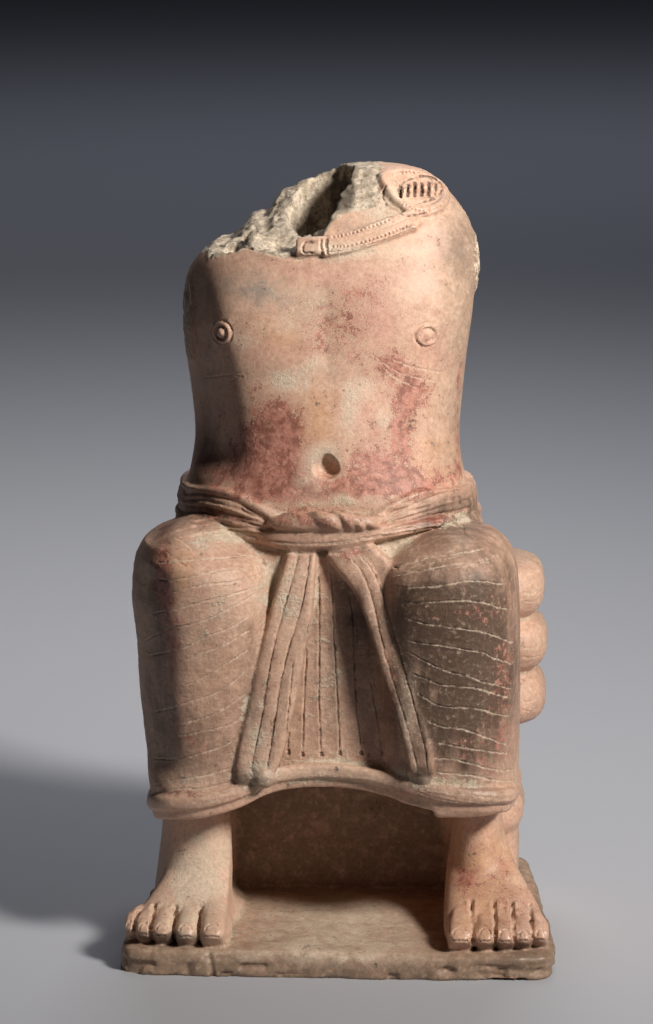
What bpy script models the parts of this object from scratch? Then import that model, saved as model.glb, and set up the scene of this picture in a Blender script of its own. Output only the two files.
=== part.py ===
"""Seated terracotta figure, broken at the neck and both arms, modelled in one with its seat and base.

The frame has +Z up and the figure's front towards -Y. The origin is the middle of the base's underside.
Forms of the figure are written in parts of its height: one part is a 415th of the height above the base.
"""
import math

import bmesh
import bpy
import numpy as np
from mathutils import Matrix, Vector, noise

# Driving dimensions, in metres
FIGURE_HEIGHT = 0.415      # top of the broken neck above the base's top
BASE_THICKNESS = 0.0140
BASE_MARGIN = 0.0062       # base beyond the outermost toes, each side
BASE_REAR_MARGIN = 0.0050  # base behind the seat
BASE_TAPER = 0.13          # share of its width that the base loses from front to rear
NECK_BORE_RADIUS = 0.0092
NECK_BORE_DEPTH = 0.062    # below the front lip of the broken neck
NICHE_WIDTH = 0.115        # opening between the ankles, under the hem
NICHE_HEIGHT = 0.084
NICHE_REAR = 0.018         # rear wall of the niche, behind the origin
VOXEL = 0.0021             # grain of the fused clay
FACES = 9600               # triangles of the finished solid

PART = FIGURE_HEIGHT / 415.0
MIDDLE = -9.0              # the figure sits a little to the left of the base's middle, in parts
SEAT_REAR = 90.0           # rear of the seat's rolls, in parts


def clear_scene():
    for obj in list(bpy.data.objects):
        bpy.data.objects.remove(obj, do_unlink=True)


def flow(rows, steps):
    """Rows of numbers carried along a smooth curve, with so many steps between two rows."""
    rows = np.asarray(rows, float)
    padded = np.vstack([2 * rows[0] - rows[1], rows, 2 * rows[-1] - rows[-2]])
    out = []
    for i in range(len(rows) - 1):
        a, b, c, d = padded[i:i + 4]
        for t in np.linspace(0.0, 1.0, steps, endpoint=False):
            bend = 2 * a - 5 * b + 4 * c - d
            out.append(0.5 * (2 * b + (c - a) * t + bend * t ** 2 + (3 * b - a - 3 * c + d) * t ** 3))
    out.append(rows[-1])
    return np.array(out)


def tube(rings, closed=False):
    """Vertices and faces of a skin over rings of points, capped at its ends."""
    count, sides = rings.shape[:2]
    verts = rings.reshape(-1, 3)
    faces = []
    for i in range(count if closed else count - 1):
        j = (i + 1) % count
        for k in range(sides):
            m = (k + 1) % sides
            faces.append((i * sides + k, i * sides + m, j * sides + m, j * sides + k))
    if not closed:
        faces.append(tuple(range(sides))[::-1])
        faces.append(tuple((count - 1) * sides + k for k in range(sides)))
    return verts, faces


def oval(sides, square):
    """Points of a superellipse of half-size one, counter-clockwise."""
    angle = np.linspace(0.0, 2 * math.pi, sides, endpoint=False)
    power = 2.0 / square
    across = np.sign(np.cos(angle)) * np.abs(np.cos(angle)) ** power
    along = np.sign(np.sin(angle)) * np.abs(np.sin(angle)) ** power
    return across, along


def loft(rows, axis="Z", sides=64, steps=6):
    """Skin over rings; a row is (place on the axis, low x, high x, low, high, squareness)."""
    rings = []
    for place, x0, x1, v0, v1, square in flow(rows, steps):
        across, along = oval(sides, max(square, 1.6))
        x = (x0 + x1) / 2 + across * (x1 - x0) / 2
        v = (v0 + v1) / 2 + along * (v1 - v0) / 2
        p = np.full(sides, place)
        rings.append(np.column_stack([x, v, p] if axis == "Z" else [x, p, v]))
    return tube(np.array(rings))


def sweep(path, width, height, facing, sides=12, steps=5, closed=False, square=2.2):
    """Flattened strand along a path; width lies across the path and height along facing."""
    path = np.asarray(path, float)
    count = len(path)
    size = [np.broadcast_to(np.asarray(s, float), count) for s in (width, height)]
    face = np.broadcast_to(np.asarray(facing, float), (count, 3))
    table = np.column_stack([path, size[0], size[1], face])
    if closed:
        table = flow(np.vstack([table[-1], table, table[0], table[1]]), steps)[steps:-steps - 1]
    else:
        table = flow(table, steps)
    line = table[:, :3]
    if closed:
        ahead = np.roll(line, -1, 0) - np.roll(line, 1, 0)
    else:
        ahead = np.gradient(line, axis=0)
    ahead /= np.linalg.norm(ahead, axis=1)[:, None]
    out = table[:, 5:8] - ahead * np.sum(table[:, 5:8] * ahead, axis=1)[:, None]
    out /= np.linalg.norm(out, axis=1)[:, None]
    side = np.cross(ahead, out)
    across, along = oval(sides, square)
    rings = (line[:, None] + side[:, None] * across[:, None] * table[:, None, 3:4]
             + out[:, None] * along[:, None] * table[:, None, 4:5])
    return tube(rings, closed)


def ball(centre, radii):
    """Ellipsoid."""
    bm = bmesh.new()
    bmesh.ops.create_uvsphere(bm, u_segments=20, v_segments=12, radius=1.0)
    matrix = Matrix.Translation(centre) @ Matrix.Diagonal((*radii, 1.0))
    bmesh.ops.transform(bm, matrix=matrix, verts=bm.verts)
    verts = np.array([v.co for v in bm.verts])
    faces = [tuple(v.index for v in f.verts) for f in bm.faces]
    bm.free()
    return verts, faces


def object_from(name, parts, scaled=True):
    """One object of several closed skins, set on the base's top."""
    mesh = bpy.data.meshes.new(name)
    verts, faces, start = [], [], 0
    for points, polygons in parts:
        verts.append(np.asarray(points))
        faces.extend(tuple(i + start for i in polygon) for polygon in polygons)
        start += len(points)
    verts = np.vstack(verts)
    if scaled:
        verts = verts * PART + (0.0, 0.0, BASE_THICKNESS)
    mesh.from_pydata(verts.tolist(), [], faces)
    bm = bmesh.new()
    bm.from_mesh(mesh)
    bmesh.ops.recalc_face_normals(bm, faces=bm.faces)
    bm.to_mesh(mesh)
    bm.free()
    obj = bpy.data.objects.new(name, mesh)
    bpy.context.scene.collection.objects.link(obj)
    return obj


def settle(obj):
    """Apply an object's modifiers."""
    depsgraph = bpy.context.evaluated_depsgraph_get()
    mesh = bpy.data.meshes.new_from_object(obj.evaluated_get(depsgraph))
    obj.modifiers.clear()
    obj.data = mesh


def fuse(obj, voxel, rounds, strength=0.5):
    """Join overlapping skins into one and soften the seams between them."""
    remesh = obj.modifiers.new("fuse", "REMESH")
    remesh.mode = "VOXEL"
    remesh.voxel_size = voxel
    soften = obj.modifiers.new("soften", "SMOOTH")
    soften.factor = strength
    soften.iterations = rounds
    settle(obj)


def cut(obj, cutter):
    """Take a cutter away from an object."""
    boolean = obj.modifiers.new("cut", "BOOLEAN")
    boolean.operation = "DIFFERENCE"
    boolean.solver = "EXACT"
    boolean.object = cutter
    settle(obj)
    bpy.data.objects.remove(cutter, do_unlink=True)


def mirrored(rows):
    """Rows of a loft on the other side of the figure's own middle."""
    return [(row[0], 2 * MIDDLE - row[2], 2 * MIDDLE - row[1], *row[3:]) for row in rows]


# Forms of the figure, in parts of its height above the base

TORSO = [(188, -97, 79, -48, 82, 2.8), (212, -92, 73, -51, 80, 2.7), (234, -88.5, 68, -53, 75, 2.6),
         (250, -85.5, 64.5, -51, 71, 2.2), (266, -83.5, 62.7, -47, 68, 2.1), (288, -85.5, 64, -43, 68, 2.15),
         (312, -88.5, 66.5, -40, 69, 2.35), (332, -90.5, 69, -36, 69, 2.6), (346, -89, 70, -34, 67.5, 2.6),
         (355, -86, 70.2, -32, 66.5, 2.5), (362, -81, 70.3, -30, 65.5, 2.45),
         (367, -75, 70.2, -28.5, 64.5, 2.4), (371, -68, 70, -27, 63.5, 2.4),
         (378, -60.5, 68.7, -22.5, 62, 2.4), (384, -54.5, 67, -19, 60, 2.4), (393, -44.5, 60.5, -12, 56, 2.3),
         (402, -30, 52, -5, 52, 2.2), (409, -14, 44, 3, 47, 2.1), (413, -2, 30, 9, 41, 2.0)]


def torso():
    stumps = [ball((-71, 15, 337), (21, 24, 25)), ball((54.5, 14, 361), (20.5, 25, 26))]
    return [loft(TORSO)] + stumps


def torso_ring(z):
    """The torso's low x, high x, front, rear and squareness at a height."""
    heights = [row[0] for row in TORSO]
    return [np.interp(z, heights, [row[k] for row in TORSO]) for k in range(1, 6)]


def torso_front(x, z):
    """Depth of the torso's front at a place seen from the front."""
    x0, x1, y0, y1, square = torso_ring(z)
    across = min(abs(x - (x0 + x1) / 2) / ((x1 - x0) / 2), 0.98)
    return (y0 + y1) / 2 - (1 - across ** square) ** (1 / square) * (y1 - y0) / 2


def skirt_body():
    """Cloth round the legs, tucked in between each leg and the seat."""
    rows = [(86, -94, 78, -48, 86, 3.2), (120, -97, 79, -51, 88, 3.0), (165, -99, 81, -52, 88, 3.0),
            (195, -98, 81, -50, 86, 2.8), (212, -92, 76, -46, 82, 2.4)]
    left_tuck = [(56, -95, -72, 4, 46, 4.0), (96, -96, -72, 4, 46, 4.0)]
    right_tuck = [(60, 66, 90, 4, 46, 4.0), (96, 66, 91, 4, 46, 4.0)]
    return [loft(rows), loft(left_tuck), loft(right_tuck)]


def legs():
    """Bent legs under the cloth: shins, thighs, the crests over them and the lap between."""
    shin = [(70, -104, -43, -79, 22, 2.7), (82, -105, -39, -80, 24, 2.7), (96, -105, -37, -78, 24, 2.7),
            (129, -108.5, -36, -79, 26, 2.7), (160, -112.5, -35, -82, 26, 2.7),
            (185, -114.5, -35, -86, 26, 2.7), (203, -113, -38, -86, 22, 2.5), (212, -110, -46, -80, 14, 2.3),
            (218.5, -104, -57, -73, 5, 2.1), (223, -95, -68, -62, -8, 2.0)]
    thigh = [(40, -98, -2, 150, 208, 2.4), (8, -105, -14, 150, 214, 2.4), (-24, -109, -24, 152, 217, 2.4),
             (-48, -108, -36, 156, 216, 2.4), (-66, -103, -48, 162, 208, 2.3)]
    crest = [(40, -96, -50, 180, 214, 2.0), (8, -102, -48, 180, 221, 2.0), (-24, -105, -46, 180, 226.5, 2.0),
             (-46, -104, -47, 180, 228, 2.0), (-60, -99, -51, 184, 224, 2.0), (-70, -94, -56, 188, 214, 2.0)]
    right_shin = mirrored(shin)
    # the right leg hangs straighter than the left
    right_shin[:5] = [(row[0], row[1], 97.5, *row[3:]) for row in right_shin[:5]]
    right_thigh = [(row[0], row[1], row[2], row[3], row[4] - 3, row[5]) for row in mirrored(thigh)]
    right_crest = [(row[0], row[1] + 4, row[2] + 3, row[3], row[4] - 5, row[5]) for row in mirrored(crest)]
    lap = [(140, -46, 34, -58, -20, 3.0), (176, -52, 38, -62, -20, 2.8), (198, -62, 46, -60, -20, 2.6),
           (212, -66, 52, -55, -10, 2.4), (222, -56, 44, -44, 0, 2.2)]
    return [loft(shin), loft(right_shin), loft(thigh, "Y"), loft(right_thigh, "Y"), loft(crest, "Y"),
            loft(right_crest, "Y"), loft(lap)]


def seat():
    rolls = [(174, 111, 15.5), (142, 113, 14.5), (111, 112.5, 14.5)]
    skins = [loft([(0, -100, 98, 20, 88, 5.0), (30, -99, 97, 20, 88, 5.0), (88, -92, 90, 20, 88, 4.0),
                   (186, -96, 94, 10, 87, 3.5)])]
    for height, reach, half in rolls:
        rows = [(height - half, -reach + 9, reach - 9, 14, 82, 3.6),
                (height - 0.72 * half, -reach + 2.5, reach - 2.5, 8, 88, 3.6),
                (height, -reach, reach, 5, SEAT_REAR, 3.8),
                (height + 0.72 * half, -reach + 2.5, reach - 2.5, 8, 88, 3.6),
                (height + half, -reach + 9, reach - 9, 14, 82, 3.6)]
        skins.append(loft(rows, steps=3))
    foot_roll = [(30, -94, 92, 16, 84, 3.6), (36, -101, 99, 10, 88, 3.6), (46, -102, 100.5, 8, 89, 3.6),
                 (54, -100, 98, 11, 88, 3.6), (60, -92, 90, 16, 84, 3.6)]
    skins.append(loft(foot_roll, steps=3))
    return skins


LEFT_ANKLE = [(-4, -104, -56, -58, 24, 2.6), (22, -99, -57, -54, 24, 2.5), (48, -94, -57.5, -49, 24, 2.4),
              (88, -92, -57, -46, 24, 2.4)]
LEFT_INSTEP = [(0, -96, -60, -4, 60, 2.4), (-26, -97, -59, -4, 51, 2.4), (-44, -101, -58, -4, 37, 2.4),
               (-58, -108, -57, -4, 25, 2.5), (-67, -112, -57, -4, 19, 2.6), (-74, -112, -58, -4, 13.5, 2.6),
               (-79, -110, -60, -4, 7, 2.6)]
RIGHT_ANKLE = [(-4, 56, 103, -58, 24, 2.6), (22, 57, 96, -54, 24, 2.5), (48, 57.5, 87, -49, 24, 2.4),
               (88, 58, 86, -46, 24, 2.4)]
RIGHT_INSTEP = [(0, 59, 90, -4, 60, 2.4), (-26, 58, 95, -4, 51, 2.4), (-44, 57, 103, -4, 38, 2.4),
                (-58, 57, 110, -4, 26, 2.5), (-67, 57, 112, -4, 20.5, 2.6), (-74, 58, 112, -4, 14.5, 2.6),
                (-79, 60, 111, -4, 8, 2.6)]
# a toe is (x of its tip, y of its tip, half width)
LEFT_TOES = [(-112.6, -82.0, 3.4), (-104.6, -87.0, 4.4), (-94.6, -89.5, 5.2), (-81.4, -91.0, 5.9),
             (-66.8, -91.5, 6.9)]
RIGHT_TOES = [(66.8, -91.5, 7.0), (80.2, -90.5, 5.5), (91.0, -89.5, 5.1), (101.0, -87.5, 4.4),
              (110.2, -84.0, 4.1)]


def feet():
    """Ankles and insteps; the toes are added once the body's seams are softened."""
    return [loft(LEFT_ANKLE), loft(LEFT_INSTEP, "Y"), loft(RIGHT_ANKLE), loft(RIGHT_INSTEP, "Y")]


def toes(tips, heel_x):
    skins = []
    for x, y, half in tips:
        root_x = x + (heel_x - x) * 0.12
        low = 0.4 * half - 2.2
        path = [(root_x, -60, 8.5), (x + (root_x - x) * 0.5, -70, 8.3), (x, y + 10, 7.6), (x, y + 4.5, 6.9),
                (x, y + 1.2, 6.0), (x, y, 5.0)]
        tall = [12.0, 10.0 + low, 8.0 + low, 7.0 + low, 5.2 + low, 3.0 + low]
        skins.append(sweep(path, [half, half, half, half, half * 0.86, half * 0.5], tall, (0, 0, 1),
                           square=3.2))
    return skins


KNOT_X = -8.0                                               # middle of the knot
REACH = (24, 30, 36, 45, 55, 65, 78)                        # distances from it
SASH_TOP = (230.5, 233.5, 237.2, 241.2, 243.5, 243.0, 240.5)
SASH_FOOT = (213, 215, 217, 219, 220.5, 219, 214)


def belt_line(share, lift, half, thick):
    """One fold of the sash round the waist; share is its place between the lower and upper edge."""
    path, out = [], []
    for across, along in zip(*oval(48, 2.3)):
        reach = abs(MIDDLE + across * 82 - KNOT_X)
        edges = (SASH_FOOT, SASH_TOP)
        low, high = (np.interp(reach, REACH, edge) if along < 0.1 else edge[-1] for edge in edges)
        z = low + (high - low) * share
        x0, x1, y0, y1, _ = torso_ring(z)
        path.append(((x0 + x1) / 2 + across * ((x1 - x0) / 2 + lift),
                     (y0 + y1) / 2 + along * ((y1 - y0) / 2 + lift), z))
        out.append((across, along, 0.0))
    return sweep(path, half, thick, out, closed=True, steps=3, square=2.6)


def sash():
    """Folds around the waist, the twisted knot and the roll below it."""
    folds = [belt_line(0.92, 1.2, 3.0, 3.0), belt_line(0.62, 1.8, 2.8, 3.2), belt_line(0.34, 1.8, 3.0, 3.4),
             belt_line(0.07, 1.2, 3.2, 3.4), belt_line(0.5, 0.0, 11.0, 3.2)]
    spindle = sweep([(-38, -53, 229.5), (-33, -57.5, 230), (-22, -61, 231), (-6, -62.5, 231.5),
                     (8, -61.5, 231), (18, -59, 231), (25, -54, 232)],
                    [1.6, 4.0, 5.2, 6.0, 6.0, 4.4, 1.6], [2.0, 4.4, 5.6, 6.0, 5.8, 4.4, 2.0], (0, -1, 0))
    twists = []
    for x, turn in ((-14.0, 7.0), (-5.0, 7.0), (4.0, 6.5), (12.0, 5.0)):
        path = [(x - 1.0, -60, 237.0), (x + turn * 0.25, -65.4, 235.4), (x + turn * 0.55, -67.4, 231.8),
                (x + turn * 0.8, -66.0, 228.0), (x + turn, -61.5, 225.6)]
        twists.append(sweep(path, [1.6, 2.6, 2.6, 2.6, 1.6], 2.2, (0, -1, 0.3), steps=4))
    under = sweep([(-50, -42, 224), (-36, -51, 222.5), (-10, -56, 222.5), (14, -54, 224.5), (34, -46, 227.5)],
                  [3.0, 4.8, 5.2, 4.8, 3.0], [3.5, 6.0, 6.0, 6.0, 3.5], (0, -1, 0), square=2.6)
    roll = sweep([(-60, -38, 221.5), (-48, -48, 218.0), (-30, -55, 216), (-10, -57.5, 215.5), (8, -57, 217.5),
                  (26, -53.5, 221), (46, -44, 224)], [2.4, 4.8, 6.0, 6.2, 5.4, 4.2, 2.4],
                 [3.0, 5.6, 7.0, 7.0, 6.4, 5.2, 3.0], (0, -1, 0), square=2.4)
    return folds + [spindle, under, roll] + twists


# a row of a tail is its height, the x of its edges and folds there, and its depth
LEFT_TAIL = [(213, -27.5, -21.5, -15.5, -12, -57), (200, -30.9, -24.8, -17.2, -13.4, -61),
             (184, -35.6, -29.3, -20.3, -14.4, -63), (166, -40.2, -34, -25.7, -17.5, -65),
             (148, -44.7, -37.6, -30.2, -21, -67), (128, -48.9, -40.6, -33.4, -25.2, -69),
             (110, -53.1, -44.2, -36, -29.5, -71), (97, -55.4, -46.8, -38.5, -33.4, -72)]
RIGHT_TAIL = [(215, -8, 3.5, 9, 18, -58), (205, 0.5, 11.8, 18.2, 29, -62), (195, 8.6, 16.7, 23.1, 31, -66),
              (185, 13.1, 19.6, 26.6, 32, -69), (170, 18.7, 23.2, 30.8, 35, -71),
              (155, 23.2, 27.2, 35.2, 38.8, -73), (140, 27.9, 32.1, 39.3, 42.8, -74.5),
              (125, 32.5, 36.8, 43.4, 46.6, -76), (110, 36.6, 40.7, 47.1, 50, -77.5),
              (97, 39.6, 43.4, 48.4, 51.2, -78.5)]


def tail(rows, proud):
    """Soft ridges side by side down one hanging end of the sash."""
    table = np.array(rows, float)
    skins = []
    for k in range(1, 4):
        low, high = table[:, k], table[:, k + 1]
        path = np.column_stack([(low + high) / 2, table[:, 5] + 3, table[:, 0]])
        skins.append(sweep(path, (high - low) / 2 * 1.14 + 0.2, proud, (0, -1, 0), square=2.8))
    # cloth behind the ridges, down to the apron
    path = np.column_stack([(table[:, 1] + table[:, 4]) / 2, table[:, 5] + 9, table[:, 0]])
    skins.append(sweep(path, (table[:, 4] - table[:, 1]) / 2, proud + 3, (0, -1, 0), square=4.0))
    return skins


def tails():
    """The two hanging ends of the sash, each of three soft ridges with rounded ends."""
    lobes = [ball((-50.8, -70.5, 95), (4.8, 5.6, 6.4)), ball((-40.4, -71.5, 94), (6.2, 6.2, 6.8)),
             ball((46.5, -75.5, 95), (5.2, 5.6, 6.4)), ball((41.0, -75, 98), (3.2, 4.6, 6.0))]
    return tail(LEFT_TAIL, 5.6) + tail(RIGHT_TAIL, 6.6) + lobes


def apron():
    """Cloth hanging between the legs."""
    rows = [(84, -56, 46, -66, -30, 3.4), (120, -54, 42, -64, -30, 3.2), (170, -48, 36, -62, -30, 3.0),
            (208, -38, 26, -58, -30, 2.6)]
    return [loft(rows)]


HEM = [(-94, 34, 66), (-101, 0, 66), (-101.8, -42, 69), (-95.5, -70, 75), (-76, -78, 77), (-56, -76, 82),
       (-40, -69, 88), (-24, -63.5, 90.5), (-6, -62, 91), (12, -63.5, 90), (28, -68, 87.5), (42, -75, 85),
       (62, -79, 83), (82, -76, 82), (92.5, -61, 79), (94, -30, 76), (93.5, 0, 73), (87, 34, 72)]


def hem():
    """Rolled lower edge of the cloth, from behind one leg round to behind the other."""
    out = [(-1, 0.5, 0), (-1, 0, 0), (-1, -0.2, 0), (-0.6, -1, 0)] + [(0, -1, 0)] * 9 + \
          [(0.6, -1, 0), (1, -0.6, 0), (1, -0.1, 0), (1, 0, 0), (1, 0.5, 0)]
    return [sweep(HEM, 7.2, 4.6, out, square=3.0)]


def on_chest(x, z, lift=0.0):
    """Point on the torso's front, lifted towards the viewer."""
    return (x, torso_front(x, z) - lift, z)


def chest_details():
    """Nipples, the collar's strip with its clasp, and the brooch on the shoulder."""
    skins = []
    for x, z, lift, radii in ((-65.3, 327.3, -0.5, (6.0, 2.4, 6.0)), (-65.3, 327.3, 1.2, (2.5, 2.8, 2.6)),
                              (45.6, 326.9, -0.5, (6.0, 2.4, 6.0))):
        skins.append(ball(on_chest(x, z, lift), radii))
    middle = [on_chest(x, z) for x, z in ((-9, 374), (4, 376.4), (16, 379.8), (28, 383.8), (40, 387.5))]
    out = [(-0.1, -1, 0.5), (0, -1, 0.5), (0.1, -1, 0.6), (0.3, -1, 0.8), (0.4, -1, 1.0)]
    skins.append(sweep(middle, [5.6, 6.0, 6.4, 6.4, 5.0], [3.6, 3.6, 3.6, 3.4, 3.0], out, square=3.6))
    clasp = [on_chest(-24.5, 373), on_chest(-17, 373.5), on_chest(-9.5, 374)]
    skins.append(sweep(clasp, 5.2, 4.8, (-0.2, -1, 0.45), square=4.5))
    outline = [(20, 409), (23, 403), (28, 397.2), (36, 392.8), (45, 391.2), (52, 393.4), (54, 398),
               (51, 402.5), (44, 407), (36, 409.5), (28, 410.5)]
    loop = [on_chest(x, z, 1.0) for x, z in outline]
    wide = [2.4, 2.4, 2.6, 3.0, 3.0, 2.8, 2.4, 1.8, 1.8, 1.8, 1.8]
    skins.append(sweep(loop, wide, 2.8, (0.45, -1, 1.2), closed=True, steps=4))
    return skins


def smoothstep(low, high, value):
    t = min(max((value - low) / (high - low), 0.0), 1.0)
    return t * t * (3 - 2 * t)


def break_height(x, y):
    """Height of the broken surface, in parts: a bowl at the neck, its far wall, and a wall at the right."""
    front = np.interp(x, (-91, -87, -81, -70, -55, -24, -4, 8), (344, 359, 366, 369, 371, 370, 379, 387))
    rear = np.interp(x, (-91, -81, -70, -60, -50, -43, -38, -33, -24, -10, 0),
                     (344, 364, 370, 376, 382, 386, 394, 397.5, 402, 405.5, 408))
    height = front + (rear - front) * min(max((y + 22) / 60, 0.0), 1.05) ** 1.4
    height -= 25 * max(1 - (((x + 12) / 20) ** 2 + ((y - 14) / 23) ** 2) ** 2, 0.0)
    height += 7 * math.exp(-((x + 50) / 4.5) ** 2 - ((y + 6) / 6) ** 2)
    height += 55 * smoothstep(-11, 15, x - 0.12 * min(max(y - 5, -10), 40))
    return height + 1.8 * noise.noise(Vector((x, y, 0)) * 0.11) + 1.2 * noise.noise(Vector((x, y, 9)) * 0.27)


def break_cutter():
    """Block above the broken surface."""
    xs = np.arange(-110, 26, 3.0)
    ys = np.arange(-60, 100, 3.0)
    low = np.array([[(x, y, break_height(x, y)) for x in xs] for y in ys])
    verts = list(low.reshape(-1, 3)) + [(p[0], p[1], 470.0) for p in low.reshape(-1, 3)]
    n, m = len(ys), len(xs)
    faces, top = [], n * m
    for i in range(n - 1):
        for k in range(m - 1):
            a = i * m + k
            faces.append((a, a + m, a + m + 1, a + 1))
            faces.append((a + top, a + 1 + top, a + m + 1 + top, a + m + top))
    rim = [k for k in range(m)] + [i * m + m - 1 for i in range(1, n)]
    rim += [(n - 1) * m + k for k in range(m - 2, -1, -1)] + [i * m for i in range(n - 2, 0, -1)]
    for a, b in zip(rim, rim[1:] + rim[:1]):
        faces.append((a, b, b + top, a + top))
    return object_from("break_cutter", [(np.array(verts), faces)])


def bore_cutter():
    """Hollow down the neck, widening towards its mouth."""
    radius = NECK_BORE_RADIUS / PART
    depth = NECK_BORE_DEPTH / PART
    lip = 381.0
    rows = [(lip - depth, -5 - 0.6 * radius, -5 + 0.6 * radius, 18 - 0.6 * radius, 18 + 0.6 * radius, 2.0),
            (lip - 0.85 * depth, -5 - radius, -5 + radius, 18 - radius, 18 + radius, 2.0),
            (lip - 0.15 * depth, -5 - radius, -5 + radius, 17 - radius, 17 + radius, 2.0),
            (lip + 12, -9 - 1.4 * radius, -5 + radius, 14 - 1.5 * radius, 18 + 1.4 * radius, 2.0),
            (lip + 60, -9 - 1.6 * radius, -5 + radius, 14 - 2 * radius, 18 + 1.5 * radius, 2.0)]
    return object_from("bore_cutter", [loft(rows, sides=24, steps=3)])


def arm_cutters():
    """Rough faces where the arms broke away."""
    cutters = []
    for side, face_x, height in ((-1, -89.0, 338), (1, 72.0, 361)):
        rows = []
        for depth in np.linspace(-14, 58, 13):
            bulge = 3.0 * noise.noise(Vector((depth, face_x, 3)) * 0.09)
            reach = 0.10 * abs(depth - 20)
            inner = face_x + side * (reach + bulge)
            low, high = sorted((inner, face_x + side * 40))
            rows.append((depth, low, high, height - 32 + 2 * bulge, height + 26, 6.0))
        cutters.append(object_from("arm_cutter", [loft(rows, "Y", steps=2)]))
    return cutters


def niche_cutter():
    """Opening between the ankles, under the hem."""
    half = NICHE_WIDTH / 2 / PART
    top = NICHE_HEIGHT / PART
    rear = NICHE_REAR / PART
    rows = [(-110, -half, half, 0.0, top, 9.0), (-30, -half, half, 0.0, top, 9.0),
            (rear - 6, -half - 6, half, 0.0, top, 9.0), (rear, -half - 2, half - 4, 2.0, top - 4, 7.0)]
    verts, faces = loft(rows, "Y", steps=2)
    verts[:, 0] += MIDDLE + 5.0
    return object_from("niche_cutter", [(verts, faces)])


def base_slab():
    """Hand-cut slab with soft corners, narrower behind; its underside is trimmed flat at the end."""
    half_width = max(x + half for x, _, half in RIGHT_TOES) * PART + BASE_MARGIN
    half_depth = SEAT_REAR * PART + BASE_REAR_MARGIN
    across, along = oval(72, 12.0)
    rings = []
    edge = 0.22 * BASE_THICKNESS
    for height, inset in ((-0.5 * BASE_THICKNESS, 0.0), (BASE_THICKNESS - 1.6 * edge, 0.0),
                          (BASE_THICKNESS - 0.5 * edge, 0.35 * edge), (BASE_THICKNESS, 1.2 * edge)):
        x = across * (half_width - inset) * (1 - BASE_TAPER * (along + 1) / 2)
        rings.append(np.column_stack([x, along * (half_depth - inset), np.full(len(x), height)]))
    return object_from("base_slab", [tube(np.array(rings))], scaled=False)


def keep_main_body(obj):
    """Drop crumbs that the fusing left loose."""
    bm = bmesh.new()
    bm.from_mesh(obj.data)
    left, bodies = set(bm.verts), []
    while left:
        body, edge = set(), [left.pop()]
        while edge:
            vert = edge.pop()
            body.add(vert)
            for link in vert.link_edges:
                other = link.other_vert(vert)
                if other in left:
                    left.remove(other)
                    edge.append(other)
        bodies.append(body)
    main = max(bodies, key=len)
    bmesh.ops.delete(bm, geom=[vert for vert in bm.verts if vert not in main], context="VERTS")
    bm.to_mesh(obj.data)
    bm.free()


def join(target, others):
    """Put the skins of several objects into one, without fusing them."""
    bm = bmesh.new()
    for obj in [target] + others:
        bm.from_mesh(obj.data)
    bm.to_mesh(target.data)
    bm.free()
    for obj in others:
        bpy.data.objects.remove(obj, do_unlink=True)


def trim_underside(obj):
    """Cut everything below the ground plane off and close the cut flat."""
    bm = bmesh.new()
    bm.from_mesh(obj.data)
    geometry = bm.verts[:] + bm.edges[:] + bm.faces[:]
    bmesh.ops.bisect_plane(bm, geom=geometry, plane_co=(0, 0, 0), plane_no=(0, 0, -1), clear_outer=True)
    rim = [edge for edge in bm.edges if edge.is_boundary]
    bmesh.ops.triangle_fill(bm, edges=rim, use_beauty=True, normal=(0, 0, -1))
    bmesh.ops.recalc_face_normals(bm, faces=bm.faces)
    bmesh.ops.triangulate(bm, faces=bm.faces)
    bm.to_mesh(obj.data)
    bm.free()


def thin_out(obj, faces):
    """Bring the mesh down to a number of triangles, keeping its edges and folds."""
    obj.data.calc_loop_triangles()
    decimate = obj.modifiers.new("thin", "DECIMATE")
    decimate.ratio = faces / len(obj.data.loop_triangles)
    decimate.use_collapse_triangulate = True
    settle(obj)


def terracotta():
    material = bpy.data.materials.new("terracotta")
    material.use_nodes = True
    shader = material.node_tree.nodes["Principled BSDF"]
    shader.inputs["Base Color"].default_value = (0.55, 0.32, 0.21, 1.0)
    shader.inputs["Roughness"].default_value = 0.72
    shader.inputs["Metallic"].default_value = 0.0
    return material


def build_figure():
    figure = object_from("seated_figure", torso() + skirt_body() + legs() + seat() + apron()
                         + feet())
    fuse(figure, VOXEL, 10)
    cut(figure, niche_cutter())
    for cutter in [break_cutter(), bore_cutter()] + arm_cutters():
        cut(figure, cutter)
    details = object_from("details", sash() + tails() + hem() + chest_details()
                          + toes(LEFT_TOES, -80) + toes(RIGHT_TOES, 78))
    join(figure, [details, base_slab()])
    fuse(figure, VOXEL, 2)
    keep_main_body(figure)
    thin_out(figure, FACES)
    trim_underside(figure)
    figure.data.materials.append(terracotta())
    return figure


clear_scene()
build_figure()
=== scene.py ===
"""Seated terracotta figure, broken at the neck and both arms: worked clay surface, finish, light and camera."""
import itertools
import math

import bmesh
import bpy
import numpy as np
from mathutils import Matrix, Vector
from mathutils.bvhtree import BVHTree


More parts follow.
